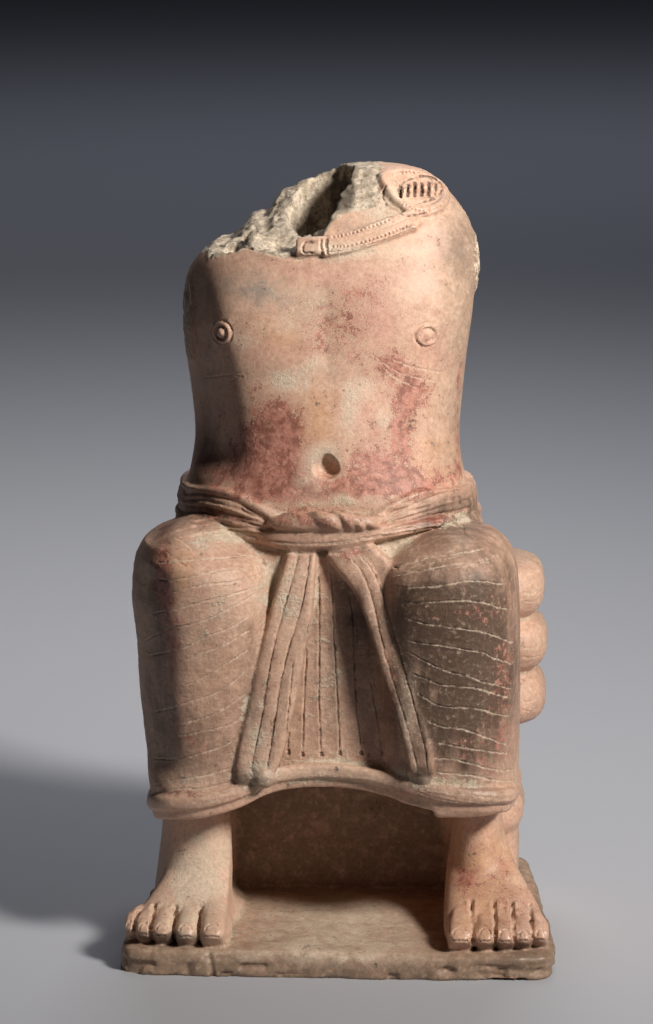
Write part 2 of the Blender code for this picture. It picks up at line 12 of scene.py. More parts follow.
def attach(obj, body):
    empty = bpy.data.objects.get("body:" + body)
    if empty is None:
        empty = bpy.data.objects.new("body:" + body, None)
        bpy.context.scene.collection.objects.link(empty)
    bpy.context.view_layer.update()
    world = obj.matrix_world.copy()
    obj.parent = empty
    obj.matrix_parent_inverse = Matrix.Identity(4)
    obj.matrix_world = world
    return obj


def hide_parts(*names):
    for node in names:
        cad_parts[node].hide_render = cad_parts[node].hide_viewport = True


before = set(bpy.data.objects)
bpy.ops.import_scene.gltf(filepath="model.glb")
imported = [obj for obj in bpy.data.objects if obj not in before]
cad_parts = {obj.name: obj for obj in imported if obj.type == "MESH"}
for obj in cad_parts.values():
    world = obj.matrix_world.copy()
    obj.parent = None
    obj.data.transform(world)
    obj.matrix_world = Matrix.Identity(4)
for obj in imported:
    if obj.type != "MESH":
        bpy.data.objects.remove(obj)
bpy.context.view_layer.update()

# Forms are written in millimetres above the slab's top: +Z up, the front towards -Y
MM = 0.001
SLAB = 14.0                         # thickness of the slab
SLAB_HALF = (120.2, 95.0)           # half its width at the front and half its depth
SLAB_TAPER = 0.13                   # share of its width that it loses towards the rear
MIDDLE = -9.0                       # the figure's own middle, left of the slab's
SEAT_REAR = 90.0
BORE_RADIUS, BORE_DEPTH = 9.2, 62.0
NECK_LIP = 381.0                    # the bore's depth is counted from here
NICHE_SIDES, NICHE_TOP, NICHE_REAR = (-61.5, 53.5), 84.0, 18.0
BODY_GRAIN = 2.0                    # the body's forms are fused at this grain
GRAIN, QUICK_GRAIN = 1.0, 1.6       # and all of it at this one
LINE_GRAIN, LINE_REACH = 0.55, 1.9  # longest edge near a scored line, and how near
PRESS_REACH = 2.7                   # a line presses the clay no further than this
TRIANGLES = 190000
# The camera: the picture's size, its focal length and middle in its own pixels, and its place in metres
PICTURE, FOCAL, CENTRE = (653, 1024), 3438.2, (345.0, 534.3)
SENSOR = 24.0
EYE, LOOKED_AT = (0.0973, -1.8559, 0.6200), (0, 0, 0.225)


# Skins of closed forms

def flow(rows, steps):
    """Rows of numbers carried along a smooth curve, with so many steps between two rows."""
    rows = np.asarray(rows, float)
    padded = np.vstack([2 * rows[0] - rows[1], rows, 2 * rows[-1] - rows[-2]])
    out = []
    for i in range(len(rows) - 1):
        a, b, c, d = padded[i:i + 4]
        for t in np.linspace(0.0, 1.0, steps, endpoint=False):
            bend = 2 * a - 5 * b + 4 * c - d
            out.append(0.5 * (2 * b + (c - a) * t + bend * t ** 2 + (3 * b - a - 3 * c + d) * t ** 3))
    out.append(rows[-1])
    return np.array(out)


def tube(rings, closed=False):
    """Vertices and faces of a skin over rings of points, capped at its ends."""
    count, sides = rings.shape[:2]
    faces = []
    for i in range(count if closed else count - 1):
        j = (i + 1) % count
        for k in range(sides):
            m = (k + 1) % sides
            faces.append((i * sides + k, i * sides + m, j * sides + m, j * sides + k))
    if not closed:
        faces.append(tuple(range(sides))[::-1])
        faces.append(tuple((count - 1) * sides + k for k in range(sides)))
    return rings.reshape(-1, 3), faces


def oval(sides, square):
    """Points of a superellipse of half-size one, counter-clockwise."""
    angle = np.linspace(0.0, 2 * math.pi, sides, endpoint=False)
    power = 2.0 / square
    across = np.sign(np.cos(angle)) * np.abs(np.cos(angle)) ** power
    along = np.sign(np.sin(angle)) * np.abs(np.sin(angle)) ** power
    return across, along


def loft(rows, axis="Z", sides=96, steps=8):
    """Skin over rings; a row is (place on the axis, low x, high x, low, high, squareness)."""
    rings = []
    for place, x0, x1, v0, v1, square in flow(rows, steps):
        across, along = oval(sides, max(square, 1.6))
        x = (x0 + x1) / 2 + across * (x1 - x0) / 2
        v = (v0 + v1) / 2 + along * (v1 - v0) / 2
        p = np.full(sides, place)
        rings.append(np.column_stack([x, v, p] if axis == "Z" else [x, p, v]))
    return tube(np.array(rings))


def sweep(path, width, height, facing, sides=16, steps=7, closed=False, square=2.2):
    """Flattened strand along a path; width lies across the path and height along facing."""
    path = np.asarray(path, float)
    count = len(path)
    size = [np.broadcast_to(np.asarray(s, float), count) for s in (width, height)]
    face = np.broadcast_to(np.asarray(facing, float), (count, 3))
    table = np.column_stack([path, size[0], size[1], face])
    if closed:
        table = flow(np.vstack([table[-1], table, table[0], table[1]]), steps)[steps:-steps - 1]
    else:
        table = flow(table, steps)
    line = table[:, :3]
    if closed:
        ahead = np.roll(line, -1, 0) - np.roll(line, 1, 0)
    else:
        ahead = np.gradient(line, axis=0)
    ahead /= np.linalg.norm(ahead, axis=1)[:, None]
    out = table[:, 5:8] - ahead * np.sum(table[:, 5:8] * ahead, axis=1)[:, None]
    out /= np.linalg.norm(out, axis=1)[:, None]
    side = np.cross(ahead, out)
    across, along = oval(sides, square)
    rings = (line[:, None] + side[:, None] * across[:, None] * table[:, None, 3:4]
             + out[:, None] * along[:, None] * table[:, None, 4:5])
    return tube(rings, closed)


def ball(centre, radii):
    """Ellipsoid."""
    bm = bmesh.new()
    bmesh.ops.create_uvsphere(bm, u_segments=32, v_segments=20, radius=1.0)
    bmesh.ops.transform(bm, matrix=Matrix.Translation(centre) @ Matrix.Diagonal((*radii, 1.0)), verts=bm.verts)
    verts = np.array([v.co for v in bm.verts])
    faces = [tuple(v.index for v in f.verts) for f in bm.faces]
    bm.free()
    return verts, faces


# Blender objects of those skins, in millimetres until the figure is finished

def shown(name, data):
    """A new object in the scene."""
    obj = bpy.data.objects.new(name, data)
    bpy.context.scene.collection.objects.link(obj)
    return obj


def clay(name, skins):
    """One object of several closed skins."""
    verts, faces, start = [], [], 0
    for points, polygons in skins:
        verts.append(np.asarray(points))
        faces.extend(tuple(i + start for i in polygon) for polygon in polygons)
        start += len(points)
    mesh = bpy.data.meshes.new(name)
    mesh.from_pydata(np.vstack(verts).tolist(), [], faces)
    bm = bmesh.new()
    bm.from_mesh(mesh)
    bmesh.ops.recalc_face_normals(bm, faces=bm.faces)
    bm.to_mesh(mesh)
    bm.free()
    return shown(name, mesh)


def settle(obj):
    """Apply an object's modifiers."""
    mesh = bpy.data.meshes.new_from_object(obj.evaluated_get(bpy.context.evaluated_depsgraph_get()))
    obj.modifiers.clear()
    obj.data = mesh


def smooth(obj, rounds):
    """Soften an object's surface."""
    soften = obj.modifiers.new("soften", "SMOOTH")
    soften.factor = 0.5
    soften.iterations = rounds
    settle(obj)


def fuse(obj, grain, rounds):
    """Join overlapping skins into one and soften the seams between them."""
    remesh = obj.modifiers.new("fuse", "REMESH")
    remesh.mode = "VOXEL"
    remesh.voxel_size = grain
    smooth(obj, rounds)


def cut(obj, cutter):
    """Take a cutter away from an object."""
    boolean = obj.modifiers.new("cut", "BOOLEAN")
    boolean.operation = "DIFFERENCE"
    boolean.solver = "MANIFOLD"
    boolean.object = cutter
    settle(obj)
    bpy.data.objects.remove(cutter, do_unlink=True)


def join(target, others):
    """Put the skins of several objects into one, without fusing them."""
    bm = bmesh.new()
    for obj in [target] + others:
        bm.from_mesh(obj.data)
    bm.to_mesh(target.data)
    bm.free()
    for obj in others:
        bpy.data.objects.remove(obj, do_unlink=True)


# Noise, lines and presses that work the surface, on arrays of points

def grit(places, seed):
    """Repeatable numbers from 0 to 1 at whole-number places."""
    n = places.astype(np.int64)
    h = (n[:, 0] * 73856093) ^ (n[:, 1] * 19349663) ^ (n[:, 2] * 83492791) ^ (seed * 374761393)
    h = (h ^ (h >> 13)) * 1274126177
    return ((h ^ (h >> 16)) & 0xFFFF) / 0xFFFF


def noise(points, size, seed=0):
    """Smooth noise from -1 to 1 in lumps of about the given size, or sizes along each axis."""
    p = points / np.asarray(size, float)
    low = np.floor(p)
    t = p - low
    t = t * t * (3 - 2 * t)
    total = np.zeros(len(points))
    for corner in itertools.product((0, 1), repeat=3):
        share = np.prod(np.where(corner, t, 1 - t), axis=1)
        total += share * grit(low + corner, seed)
    return 2 * total - 1


def rough(points, size, seed=0, octaves=3):
    """Noise with finer lumps on coarser ones."""
    return sum(noise(points, size / 2 ** k, seed + k) / 2 ** k for k in range(octaves))


def ramp(low, high, value):
    """0 below low, 1 above high, smooth between."""
    t = np.clip((value - low) / (high - low), 0.0, 1.0)
    return t * t * (3 - 2 * t)


def band(value, low, full, full_end, high):
    """1 from full to full_end, 0 below low and above high, smooth between."""
    return ramp(low, full, value) * ramp(high, full_end, value)


def hill(u, v, u_top, v_top, u_wide, v_wide):
    """A soft rise, 1 at its top."""
    return np.exp(-((u - u_top) / u_wide) ** 2 - ((v - v_top) / v_wide) ** 2)


def line_distance(points, line, reach):
    """Distance of points from a line of points, at most reach, and the share of the line's length."""
    best = np.full(len(points), reach)
    share = np.zeros(len(points))
    near = np.flatnonzero(np.all((points > line.min(0) - reach) & (points < line.max(0) + reach), axis=1))
    close, so_far = points[near], best[near]
    place = share[near]
    pieces = len(line) - 1
    for i in range(pieces):
        a, b = line[i], line[i + 1]
        t = np.clip((close - a) @ (b - a) / max((b - a) @ (b - a), 1e-9), 0, 1)
        d = np.linalg.norm(close - a - t[:, None] * (b - a), axis=1)
        nearer = d < so_far
        so_far = np.where(nearer, d, so_far)
        place = np.where(nearer, (i + t) / pieces, place)
    best[near], share[near] = so_far, place
    return best, share


def mesh_arrays(obj):
    """Vertices and triangles of an object."""
    mesh = obj.data
    mesh.calc_loop_triangles()
    verts = np.empty(len(mesh.vertices) * 3)
    mesh.vertices.foreach_get("co", verts)
    tris = np.empty(len(mesh.loop_triangles) * 3, np.int32)
    mesh.loop_triangles.foreach_get("vertices", tris)
    return verts.reshape(-1, 3), tris.reshape(-1, 3).astype(np.int64)


def vertex_normals(verts, tris):
    """Outward directions at the vertices, each face counting by its area."""
    a, b, c = (verts[tris[:, k]] for k in range(3))
    face = np.cross(b - a, c - a)
    normal = np.zeros_like(verts)
    for axis in range(3):
        normal[:, axis] = sum(np.bincount(tris[:, k], face[:, axis], len(verts)) for k in range(3))
    return normal / np.maximum(np.linalg.norm(normal, axis=1), 1e-12)[:, None]


def refine(verts, tris, wanted):
    """Halve every edge that is longer than the length wanted at its middle."""
    n = len(verts)
    ends = np.sort(tris[:, [0, 1, 1, 2, 2, 0]].reshape(-1, 2), axis=1)
    keys, back = np.unique(ends[:, 0] * n + ends[:, 1], return_inverse=True)
    a, b = keys // n, keys % n
    middle = (verts[a] + verts[b]) / 2
    split = np.linalg.norm(verts[a] - verts[b], axis=1) > wanted(middle)
    new = np.full(len(keys), -1)
    new[split] = n + np.arange(split.sum())
    verts = np.vstack([verts, middle[split]])
    mid = new[back].reshape(-1, 3)
    halves = (mid >= 0).sum(axis=1)
    out = [tris[halves == 0]]
    for k in range(3):
        one = (halves == 1) & (mid[:, k] >= 0)
        v0, v1, v2 = (tris[one][:, (k + j) % 3] for j in range(3))
        m = mid[one][:, k]
        out += [np.column_stack([v0, m, v2]), np.column_stack([m, v1, v2])]
        two = (halves == 2) & (mid[:, k] < 0)
        v0, v1, v2 = (tris[two][:, (k + 1 + j) % 3] for j in range(3))
        m, q = mid[two][:, (k + 1) % 3], mid[two][:, (k + 2) % 3]
        out += [np.column_stack([v1, q, m]), np.column_stack([v0, m, q]), np.column_stack([v0, q, v2])]
    three = halves == 3
    v, m = tris[three], mid[three]
    out += [np.column_stack([v[:, 0], m[:, 0], m[:, 2]]), np.column_stack([v[:, 1], m[:, 1], m[:, 0]]),
            np.column_stack([v[:, 2], m[:, 2], m[:, 1]]), m]
    return verts, np.vstack(out)


# Forms of the figure

TORSO = [(188, -97, 79, -48, 82, 2.8), (212, -92, 73, -51, 80, 2.7), (234, -88.5, 68, -53, 75, 2.6),
         (250, -85.5, 64.5, -51, 71, 2.2), (266, -83.5, 62.7, -47, 68, 2.1), (288, -85.5, 64, -43, 68, 2.15),
         (312, -88.5, 66.5, -40, 69, 2.35), (332, -90.5, 69, -36, 69, 2.6), (346, -89, 70, -34, 67.5, 2.6),
         (355, -87.2, 70.2, -32, 66.5, 2.5), (362, -84, 70.3, -30, 65.5, 2.45),
         (367, -80, 70.2, -28.5, 64.5, 2.4), (371, -75, 70, -27, 63.5, 2.4),
         (378, -67, 68.7, -22.5, 62, 2.4), (384, -59.5, 67, -19, 60, 2.4), (393, -47.5, 60.5, -12, 56, 2.3),
         (402, -30, 52, -5, 52, 2.2), (409, -14, 44, 3, 47, 2.1), (413, -2, 30, 9, 41, 2.0)]


def torso():
    """Chest and belly, with the stumps of the arms."""
    stumps = [ball((-71, 15, 337), (21, 24, 25)), ball((54.5, 14, 361), (20.5, 25, 26))]
    return [loft(TORSO)] + stumps


def torso_ring(z):
    """The torso's low x, high x, front, rear and squareness at a height."""
    heights = [row[0] for row in TORSO]
    return [np.interp(z, heights, [row[k] for row in TORSO]) for k in range(1, 6)]


def torso_front(x, z):
    """Depth of the torso's front at a place seen from the front."""
    x0, x1, y0, y1, square = torso_ring(z)
    across = min(abs(x - (x0 + x1) / 2) / ((x1 - x0) / 2), 0.98)
    return (y0 + y1) / 2 - (1 - across ** square) ** (1 / square) * (y1 - y0) / 2


def mirrored(rows):
    """Rows of a loft on the other side of the figure's own middle."""
    return [(row[0], 2 * MIDDLE - row[2], 2 * MIDDLE - row[1], *row[3:]) for row in rows]


def skirt_body():
    """Cloth round the legs, tucked in between each leg and the seat."""
    rows = [(86, -94, 78, -48, 86, 3.2), (120, -97, 79, -51, 88, 3.0), (165, -99, 81, -52, 88, 3.0),
            (195, -98, 81, -50, 86, 2.8), (212, -92, 76, -46, 82, 2.4)]
    left_tuck = [(56, -95, -72, 4, 46, 4.0), (96, -96, -72, 4, 46, 4.0)]
    right_tuck = [(60, 66, 90, 4, 46, 4.0), (96, 66, 91, 4, 46, 4.0)]
    return [loft(rows), loft(left_tuck), loft(right_tuck)]


def legs():
    """Shins, thighs with their crests, and the lap between them."""
    shin = [(72, -104, -43, -79, 22, 2.7), (82, -106, -39, -80, 24, 2.7), (96, -107.5, -37, -78, 24, 2.7),
            (129, -111, -36, -79, 26, 2.7), (160, -112.5, -35, -82, 26, 2.7), (185, -114.5, -35, -86, 26, 2.7),
            (203, -113, -38, -86, 22, 2.5), (212, -110, -46, -80, 14, 2.3), (218.5, -104, -57, -73, 5, 2.1),
            (223, -95, -68, -62, -8, 2.0)]
    thigh = [(40, -98, -2, 150, 208, 2.4), (8, -105, -14, 150, 214, 2.4), (-24, -109, -24, 152, 217, 2.4),
             (-48, -108, -36, 156, 216, 2.4), (-66, -103, -48, 162, 208, 2.3)]
    crest = [(40, -96, -56, 180, 213, 2.0), (8, -102, -55, 180, 220, 2.0), (-24, -105, -53, 180, 226, 2.0),
             (-46, -104, -54, 180, 228, 2.0), (-60, -99, -57, 184, 224, 2.0), (-70, -94, -61, 188, 214, 2.0)]
    right_shin = mirrored(shin)
    # the right leg hangs straighter than the left
    right_shin[:5] = [(row[0], row[1], 97.5, *row[3:]) for row in right_shin[:5]]
    right_thigh = [(row[0], row[1], row[2], row[3], row[4] - 3, row[5]) for row in mirrored(thigh)]
    right_crest = [(row[0], row[1] + 4, row[2] + 3, row[3], row[4] - 8, row[5]) for row in mirrored(crest)]
    lap = [(140, -46, 34, -54, -20, 3.0), (176, -52, 38, -57, -20, 2.8), (198, -62, 46, -57, -20, 2.6),
           (212, -66, 52, -55, -10, 2.4), (222, -56, 44, -44, 0, 2.2)]
    return [loft(shin), loft(right_shin), loft(thigh, "Y"), loft(right_thigh, "Y"), loft(crest, "Y"),
            loft(right_crest, "Y"), loft(lap)]


def seat():
    """Core of the stool, its three stacked rolls and the low one at its foot."""
    section = ((-1, 9, 14, 82, 3.6), (-0.72, 2.5, 8, 88, 3.6), (0, 0, 5, SEAT_REAR, 3.8), (0.72, 2.5, 8, 88, 3.6),
               (1, 9, 14, 82, 3.6))
    skins = [loft([(0, -100, 98, 20, 88, 5.0), (30, -99, 97, 20, 88, 5.0), (88, -92, 90, 20, 88, 4.0),
                   (186, -96, 94, 10, 87, 3.5)])]
    for height, reach, half in ((174, 111, 15.5), (142, 113, 14.5), (111, 112.5, 14.5)):
        rows = [(height + share * half, inset - reach, reach - inset, *rest) for share, inset, *rest in section]
        skins.append(loft(rows, steps=4))
    foot_roll = [(30, -94, 92, 16, 84, 3.6), (36, -101, 99, 10, 88, 3.6), (46, -102, 100.5, 8, 89, 3.6),
                 (54, -100, 98, 11, 88, 3.6), (60, -92, 90, 16, 84, 3.6)]
    skins.append(loft(foot_roll, steps=4))
    return skins


LEFT_ANKLE = [(-4, -107, -56, -58, 24, 2.6), (22, -104.5, -57, -54, 24, 2.5), (48, -101.5, -57.5, -49, 24, 2.4),
              (88, -100, -57, -46, 24, 2.4)]
LEFT_INSTEP = [(0, -96, -60, -4, 60, 2.4), (-26, -97, -59, -4, 51, 2.4), (-44, -101, -58, -4, 37, 2.4),
               (-58, -108, -57, -4, 25, 2.5), (-67, -112, -57, -4, 19, 2.6), (-74, -112, -58, -4, 13.5, 2.6),
               (-79, -110, -60, -4, 7, 2.6)]
RIGHT_ANKLE = [(-4, 56, 103, -58, 24, 2.6), (22, 58, 96, -54, 24, 2.5), (48, 60.5, 89, -49, 24, 2.4),
               (88, 62.5, 88, -46, 24, 2.4)]
RIGHT_INSTEP = [(0, 59, 90, -4, 60, 2.4), (-26, 58, 95, -4, 51, 2.4), (-44, 57, 103, -4, 38, 2.4),
                (-58, 57, 110, -4, 26, 2.5), (-67, 57, 112, -4, 20.5, 2.6), (-74, 58, 112, -4, 14.5, 2.6),
                (-79, 60, 111, -4, 8, 2.6)]
# a toe is (x of its tip, y of its tip, half width)
LEFT_TOES = [(-112.6, -82.0, 3.4), (-104.6, -87.0, 4.4), (-94.6, -89.5, 5.2), (-81.4, -91.0, 5.9),
             (-66.8, -91.5, 6.9)]
RIGHT_TOES = [(66.8, -91.5, 7.0), (80.2, -90.5, 5.5), (91.0, -89.5, 5.1), (101.0, -87.5, 4.4),
              (110.2, -84.0, 4.1)]


def feet():
    """Ankles and insteps."""
    return [loft(LEFT_ANKLE), loft(LEFT_INSTEP, "Y"), loft(RIGHT_ANKLE), loft(RIGHT_INSTEP, "Y")]


def toes(tips, heel_x):
    """Toes that spread from the instep towards their tips."""
    skins = []
    for x, y, half in tips:
        root_x = x + (heel_x - x) * 0.12
        low = 0.4 * half - 2.2
        path = [(root_x, -60, 5.0 + 0.5 * half), (x + (root_x - x) * 0.5, -70, 6.4 + 0.25 * half), (x, y + 10, 7.4),
                (x, y + 4.5, 6.9), (x, y + 1.2, 6.0), (x, y, 5.0)]
        tall = [5.4 + half, 9.6 + low, 8.0 + low, 7.2 + low, 5.4 + low, 3.4 + low]
        skins.append(sweep(path, [half, half, half, half, half * 0.86, half * 0.5], tall, (0, 0, 1), square=3.2))
    return skins


KNOT_X = -8.0        # middle of the knot
REACH = (24, 30, 36, 45, 55, 65, 78)                        # distances from it
SASH_TOP = (230.5, 233.5, 237.2, 241.2, 243.5, 243.0, 240.5)
SASH_FOOT = (213, 215, 217, 219, 220.5, 219, 214)


def belt_line(share, lift, half, thick, square=2.4):
    """One fold of the sash round the waist; share is its place between the lower and upper edge."""
    path, out = [], []
    for across, along in zip(*oval(80, 2.3)):
        reach = abs(-9.0 + across * 82 - KNOT_X)
        low, high = (np.interp(reach, REACH, edge) if along < 0.1 else edge[-1] for edge in (SASH_FOOT, SASH_TOP))
        z = low + (high - low) * share
        x0, x1, y0, y1, _ = torso_ring(z)
        path.append(((x0 + x1) / 2 + across * ((x1 - x0) / 2 + lift),
                     (y0 + y1) / 2 + along * ((y1 - y0) / 2 + lift), z))
        out.append((across, along, 0.0))
    return sweep(path, half, thick, out, closed=True, steps=3, square=square)


def sash():
    """Folds around the waist, the twisted knot and the roll below it."""
    folds = [belt_line(share, lift, half, thick) for share, lift, half, thick in
             ((0.97, 1.6, 1.7, 2.8), (0.82, 0.5, 2.8, 2.7), (0.64, 1.8, 1.6, 2.8), (0.54, 1.2, 1.3, 2.7),
              (0.34, 1.9, 1.8, 2.9), (0.20, 1.2, 1.5, 2.7), (0.05, 0.8, 2.3, 3.0))]
    folds.append(belt_line(0.5, 0.0, 11.0, 3.2, 3.4))
    spindle = sweep([(-38, -53, 229.5), (-33, -57, 229.7), (-22, -60, 230), (-6, -61, 230.5), (8, -60, 230),
                     (18, -57.5, 230), (25, -53, 231)], [1.4, 3.4, 4.4, 5.0, 4.8, 3.6, 1.4],
                    [2.0, 4.0, 4.8, 5.0, 4.8, 3.8, 2.0], (0, -1, 0))
    # folds of the knot run down to the right: a broad one in the middle, narrow ones at its right
    folded = [([(-34, -54, 231), (-27, -59.5, 230.6), (-20, -61.5, 228), (-14, -60, 225.6)], 2.2),
              ([(-31, -55, 233), (-23, -61.5, 233.2), (-16, -63.5, 231), (-11, -61.5, 227)], 2.0),
              ([(-17, -60, 234), (-10, -65, 234), (-2, -66, 231.4), (3, -62.5, 226.8)], 3.4),
              ([(-4, -60, 236.5), (1.5, -65.2, 235), (6, -66, 231), (8, -62, 226.2)], 1.7),
              ([(2, -60, 236.5), (7, -64.6, 234.4), (11.4, -65, 230.2), (13.4, -60.5, 225.8)], 1.7),
              ([(9, -59, 235), (13.6, -63, 232.6), (18.4, -61.5, 229.4), (23, -55.5, 227.4)], 2.1)]
    knot = [sweep(path, [0.5 * wide, wide, wide, 0.55 * wide], [1.2, 2.3, 2.3, 1.2], (0, -1, 0.3), steps=5)
            for path, wide in folded]
    roll = sweep([(-52, -41, 222.5), (-39, -50, 220.6), (-28, -55, 220.4), (-10, -57.5, 221.2), (6, -57.5, 221.8),
                  (20, -55, 223.8), (36, -49.5, 225.6), (55, -41, 227.5)],
                 [2.2, 4.4, 6.2, 6.4, 5.6, 4.2, 3.0, 2.0], [3.0, 5.0, 5.8, 6.2, 6.2, 5.2, 4.4, 3.0], (0, -1, 0),
                 square=2.5)
    return folds + [spindle, roll] + knot


# Heights down a tail of the sash, the x of its edges and folds there, and its depth
LEFT_TAIL = [(213, -27.5, -21.5, -15.5, -12, -57), (200, -30.9, -24.8, -17.2, -13.4, -61.5),
             (184, -35.6, -29.3, -20.3, -14.4, -65), (166, -40.2, -34, -25.7, -17.5, -68),
             (148, -44.7, -37.6, -30.2, -21, -70.5), (128, -48.9, -40.6, -33.4, -25.2, -73),
             (110, -53.1, -44.2, -36, -29.5, -75.5), (97, -55.4, -46.8, -38.5, -33.4, -77)]
RIGHT_TAIL = [(215, -8, 3.5, 9, 18, -58), (205, 0.5, 11.8, 18.2, 29, -62), (195, 8.6, 16.7, 23.1, 31, -66),
              (185, 13.1, 19.6, 26.6, 32, -69), (170, 18.7, 23.2, 30.8, 35, -71), (155, 23.2, 27.2, 35.2, 38.8, -73),
              (140, 27.9, 32.1, 39.3, 42.8, -74.5), (125, 32.5, 36.8, 43.4, 46.6, -76),
              (110, 36.6, 40.7, 47.1, 50, -77.5), (97, 39.6, 43.4, 48.4, 51.2, -78.5)]


def tail(rows, proud):
    """Soft ridges side by side down one hanging end of the sash."""
    table = np.array(rows, float)
    skins = []
    for k in range(1, 4):
        low, high = table[:, k], table[:, k + 1]
        path = np.column_stack([(low + high) / 2, table[:, 5] + 3, table[:, 0]])
        skins.append(sweep(path, (high - low) / 2 * 1.14 + 0.2, proud, (0, -1, 0), square=3.2))
    return skins


def tails():
    """The two hanging ends of the sash, each of three soft ridges with rounded ends."""
    lobes = [ball((-50.6, -75.5, 94), (5.6, 5.4, 6.0)), ball((-40.0, -76.5, 93.5), (6.6, 6.0, 6.6)),
             ball((46.5, -75.5, 95), (5.2, 5.6, 6.4)), ball((41.0, -75, 98), (3.2, 4.6, 6.0))]
    return tail(LEFT_TAIL, 5.6) + tail(RIGHT_TAIL, 6.6) + lobes


def apron():
    """Cloth hanging between the legs."""
    rows = [(84, -56, 46, -61, -30, 3.4), (120, -54, 42, -59, -30, 3.2), (170, -48, 36, -57, -30, 3.0),
            (208, -38, 26, -55, -30, 2.6)]
    return [loft(rows)]


HEM = [(-95, 34, 65), (-103, 0, 65), (-103.8, -42, 67), (-96.5, -71, 74), (-76, -80, 77), (-56, -77, 82),
       (-40, -70, 88), (-24, -64.5, 90.5), (-6, -63, 91), (12, -64.5, 90), (28, -69, 87.5), (42, -76, 85),
       (62, -80.5, 83), (82, -77, 82), (93.5, -62, 79), (95.5, -30, 76), (95, 0, 73), (87, 34, 72)]


def hem():
    """Rolled lower edge of the cloth, from behind one leg round to behind the other."""
    out = [(-1, 0.5, 0), (-1, 0, 0), (-1, -0.2, 0), (-0.6, -1, 0)] + [(0, -1, 0)] * 9 + \
          [(0.6, -1, 0), (1, -0.6, 0), (1, -0.1, 0), (1, 0, 0), (1, 0.5, 0)]
    skins = []
    for lift, back, tall, thick in ((2.4, 0.0, 4.2, 3.3), (-3.4, 2.4, 4.2, 2.4)):
        path = [(x - back * ox, y - back * oy, z + lift) for (x, y, z), (ox, oy, _) in zip(HEM, out)]
        skins.append(sweep(path, tall, thick, out, square=2.6))
    return skins


def on_chest(x, z, lift=0.0):
    """Point on the torso's front, lifted towards the viewer."""
    return (x, torso_front(x, z) - lift, z)


def chest_details():
    """Collar's strip with its clasp, and the brooch on the shoulder."""
    middle = [on_chest(*place) for place in ((-9, 374), (4, 376.4), (16, 379.8), (28, 383.8), (40, 387.5))]
    out = [(-0.1, -1, 0.5), (0, -1, 0.5), (0.1, -1, 0.6), (0.3, -1, 0.8), (0.4, -1, 1.0)]
    skins = [sweep(middle, [5.0, 5.4, 5.8, 5.8, 4.4], [3.4, 3.4, 3.4, 3.2, 2.8], out, square=3.6)]
    for lift in (5.2, -5.0):
        edge = [on_chest(x + 0.12 * lift, z + 0.86 * lift, 1.6) for x, _, z in middle]
        skins.append(sweep(edge, 1.2, 2.6, out, square=2.4))
    clasp = [on_chest(*place) for place in ((-24.5, 373), (-17, 373.5), (-9.5, 374))]
    skins.append(sweep(clasp, 5.2, 4.8, (-0.2, -1, 0.45), square=4.5))
    rim = [on_chest(*place) for place in
           ((20, 409, 1.0), (23, 403, 1.0), (28, 397.2, 1.2), (36, 392.8, 1.4), (45, 391.2, 1.4), (52, 393.4, 1.2),
            (54, 398, 1.0), (51, 402.5, 0.5), (44, 407, 0.5), (36, 409.5, 0.5), (28, 410.5, 0.5))]
    skins.append(sweep(rim, [2.4, 2.4, 2.6, 3.0, 3.0, 2.8, 2.4, 1.8, 1.8, 1.8, 1.8], 2.8, (0.45, -1, 1.2),
                       closed=True, steps=4))
    # lobes of the brooch
    for k in range(5):
        x, z = 32.2 + 3.7 * k, 402.2 - 0.4 * (k - 2) ** 2
        skins.append(ball(on_chest(x, z, 0.8), (1.5, 2.6, 3.7)))
    return skins


# Breaks and openings

def break_height(x, y):
    """Height of the broken surface: a bowl at the neck, its far wall, and a ragged wall at the right."""
    front = np.interp(x, (-91, -87, -81, -70, -55, -24, -4, 8), (344, 359, 366, 369, 371, 370, 379, 387))
    rear = np.interp(x, (-91, -81, -70, -60, -52, -43, -40.5, -34, -24, -10, 0),
                     (350, 364, 370, 377, 383.5, 386, 391.5, 397, 402, 405.5, 408))
    height = front + (rear - front) * np.clip((y + 22) / 54, 0.0, 1.05) ** 1.3
    bowl = ((x + 12) / 20) ** 2 + ((y - 14) / 23) ** 2
    height = height - 25 * np.clip(1 - bowl ** 2, 0, 1)
    height = height + 7 * hill(x, y, -50, -6, 4.5, 6)
    height = height - 8 * hill(x, y, -57.5, -9, 4.2, 4.5)
    place = np.column_stack([x, y, np.zeros(len(x))])
    ragged = x + 3.5 * noise(place, 7.0, 41) - 0.12 * np.clip(y - 5, -10, 40)
    height = height + 55 * ramp(-11, 15, ragged)
    return height + 2.2 * rough(place, 9.0, 40)


def break_cutter():
    """Block above the broken surface."""
    xs = np.arange(-110, 26, 2.0)
    ys = np.arange(-60, 100, 2.0)
    x, y = (grid.ravel() for grid in np.meshgrid(xs, ys))
    low = np.column_stack([x, y, break_height(x, y)])
    high = np.column_stack([x, y, np.full(len(x), 470.0)])
    n, m = len(ys), len(xs)
    faces, top = [], n * m
    for i in range(n - 1):
        for k in range(m - 1):
            a = i * m + k
            faces.append((a, a + m, a + m + 1, a + 1))
            faces.append((a + top, a + 1 + top, a + m + 1 + top, a + m + top))
    rim = list(range(m)) + [i * m + m - 1 for i in range(1, n)]
    rim += [(n - 1) * m + k for k in range(m - 2, -1, -1)] + [i * m for i in range(n - 2, 0, -1)]
    for a, b in zip(rim, rim[1:] + rim[:1]):
        faces.append((a, b, b + top, a + top))
    return clay("break_cutter", [(np.vstack([low, high]), faces)])


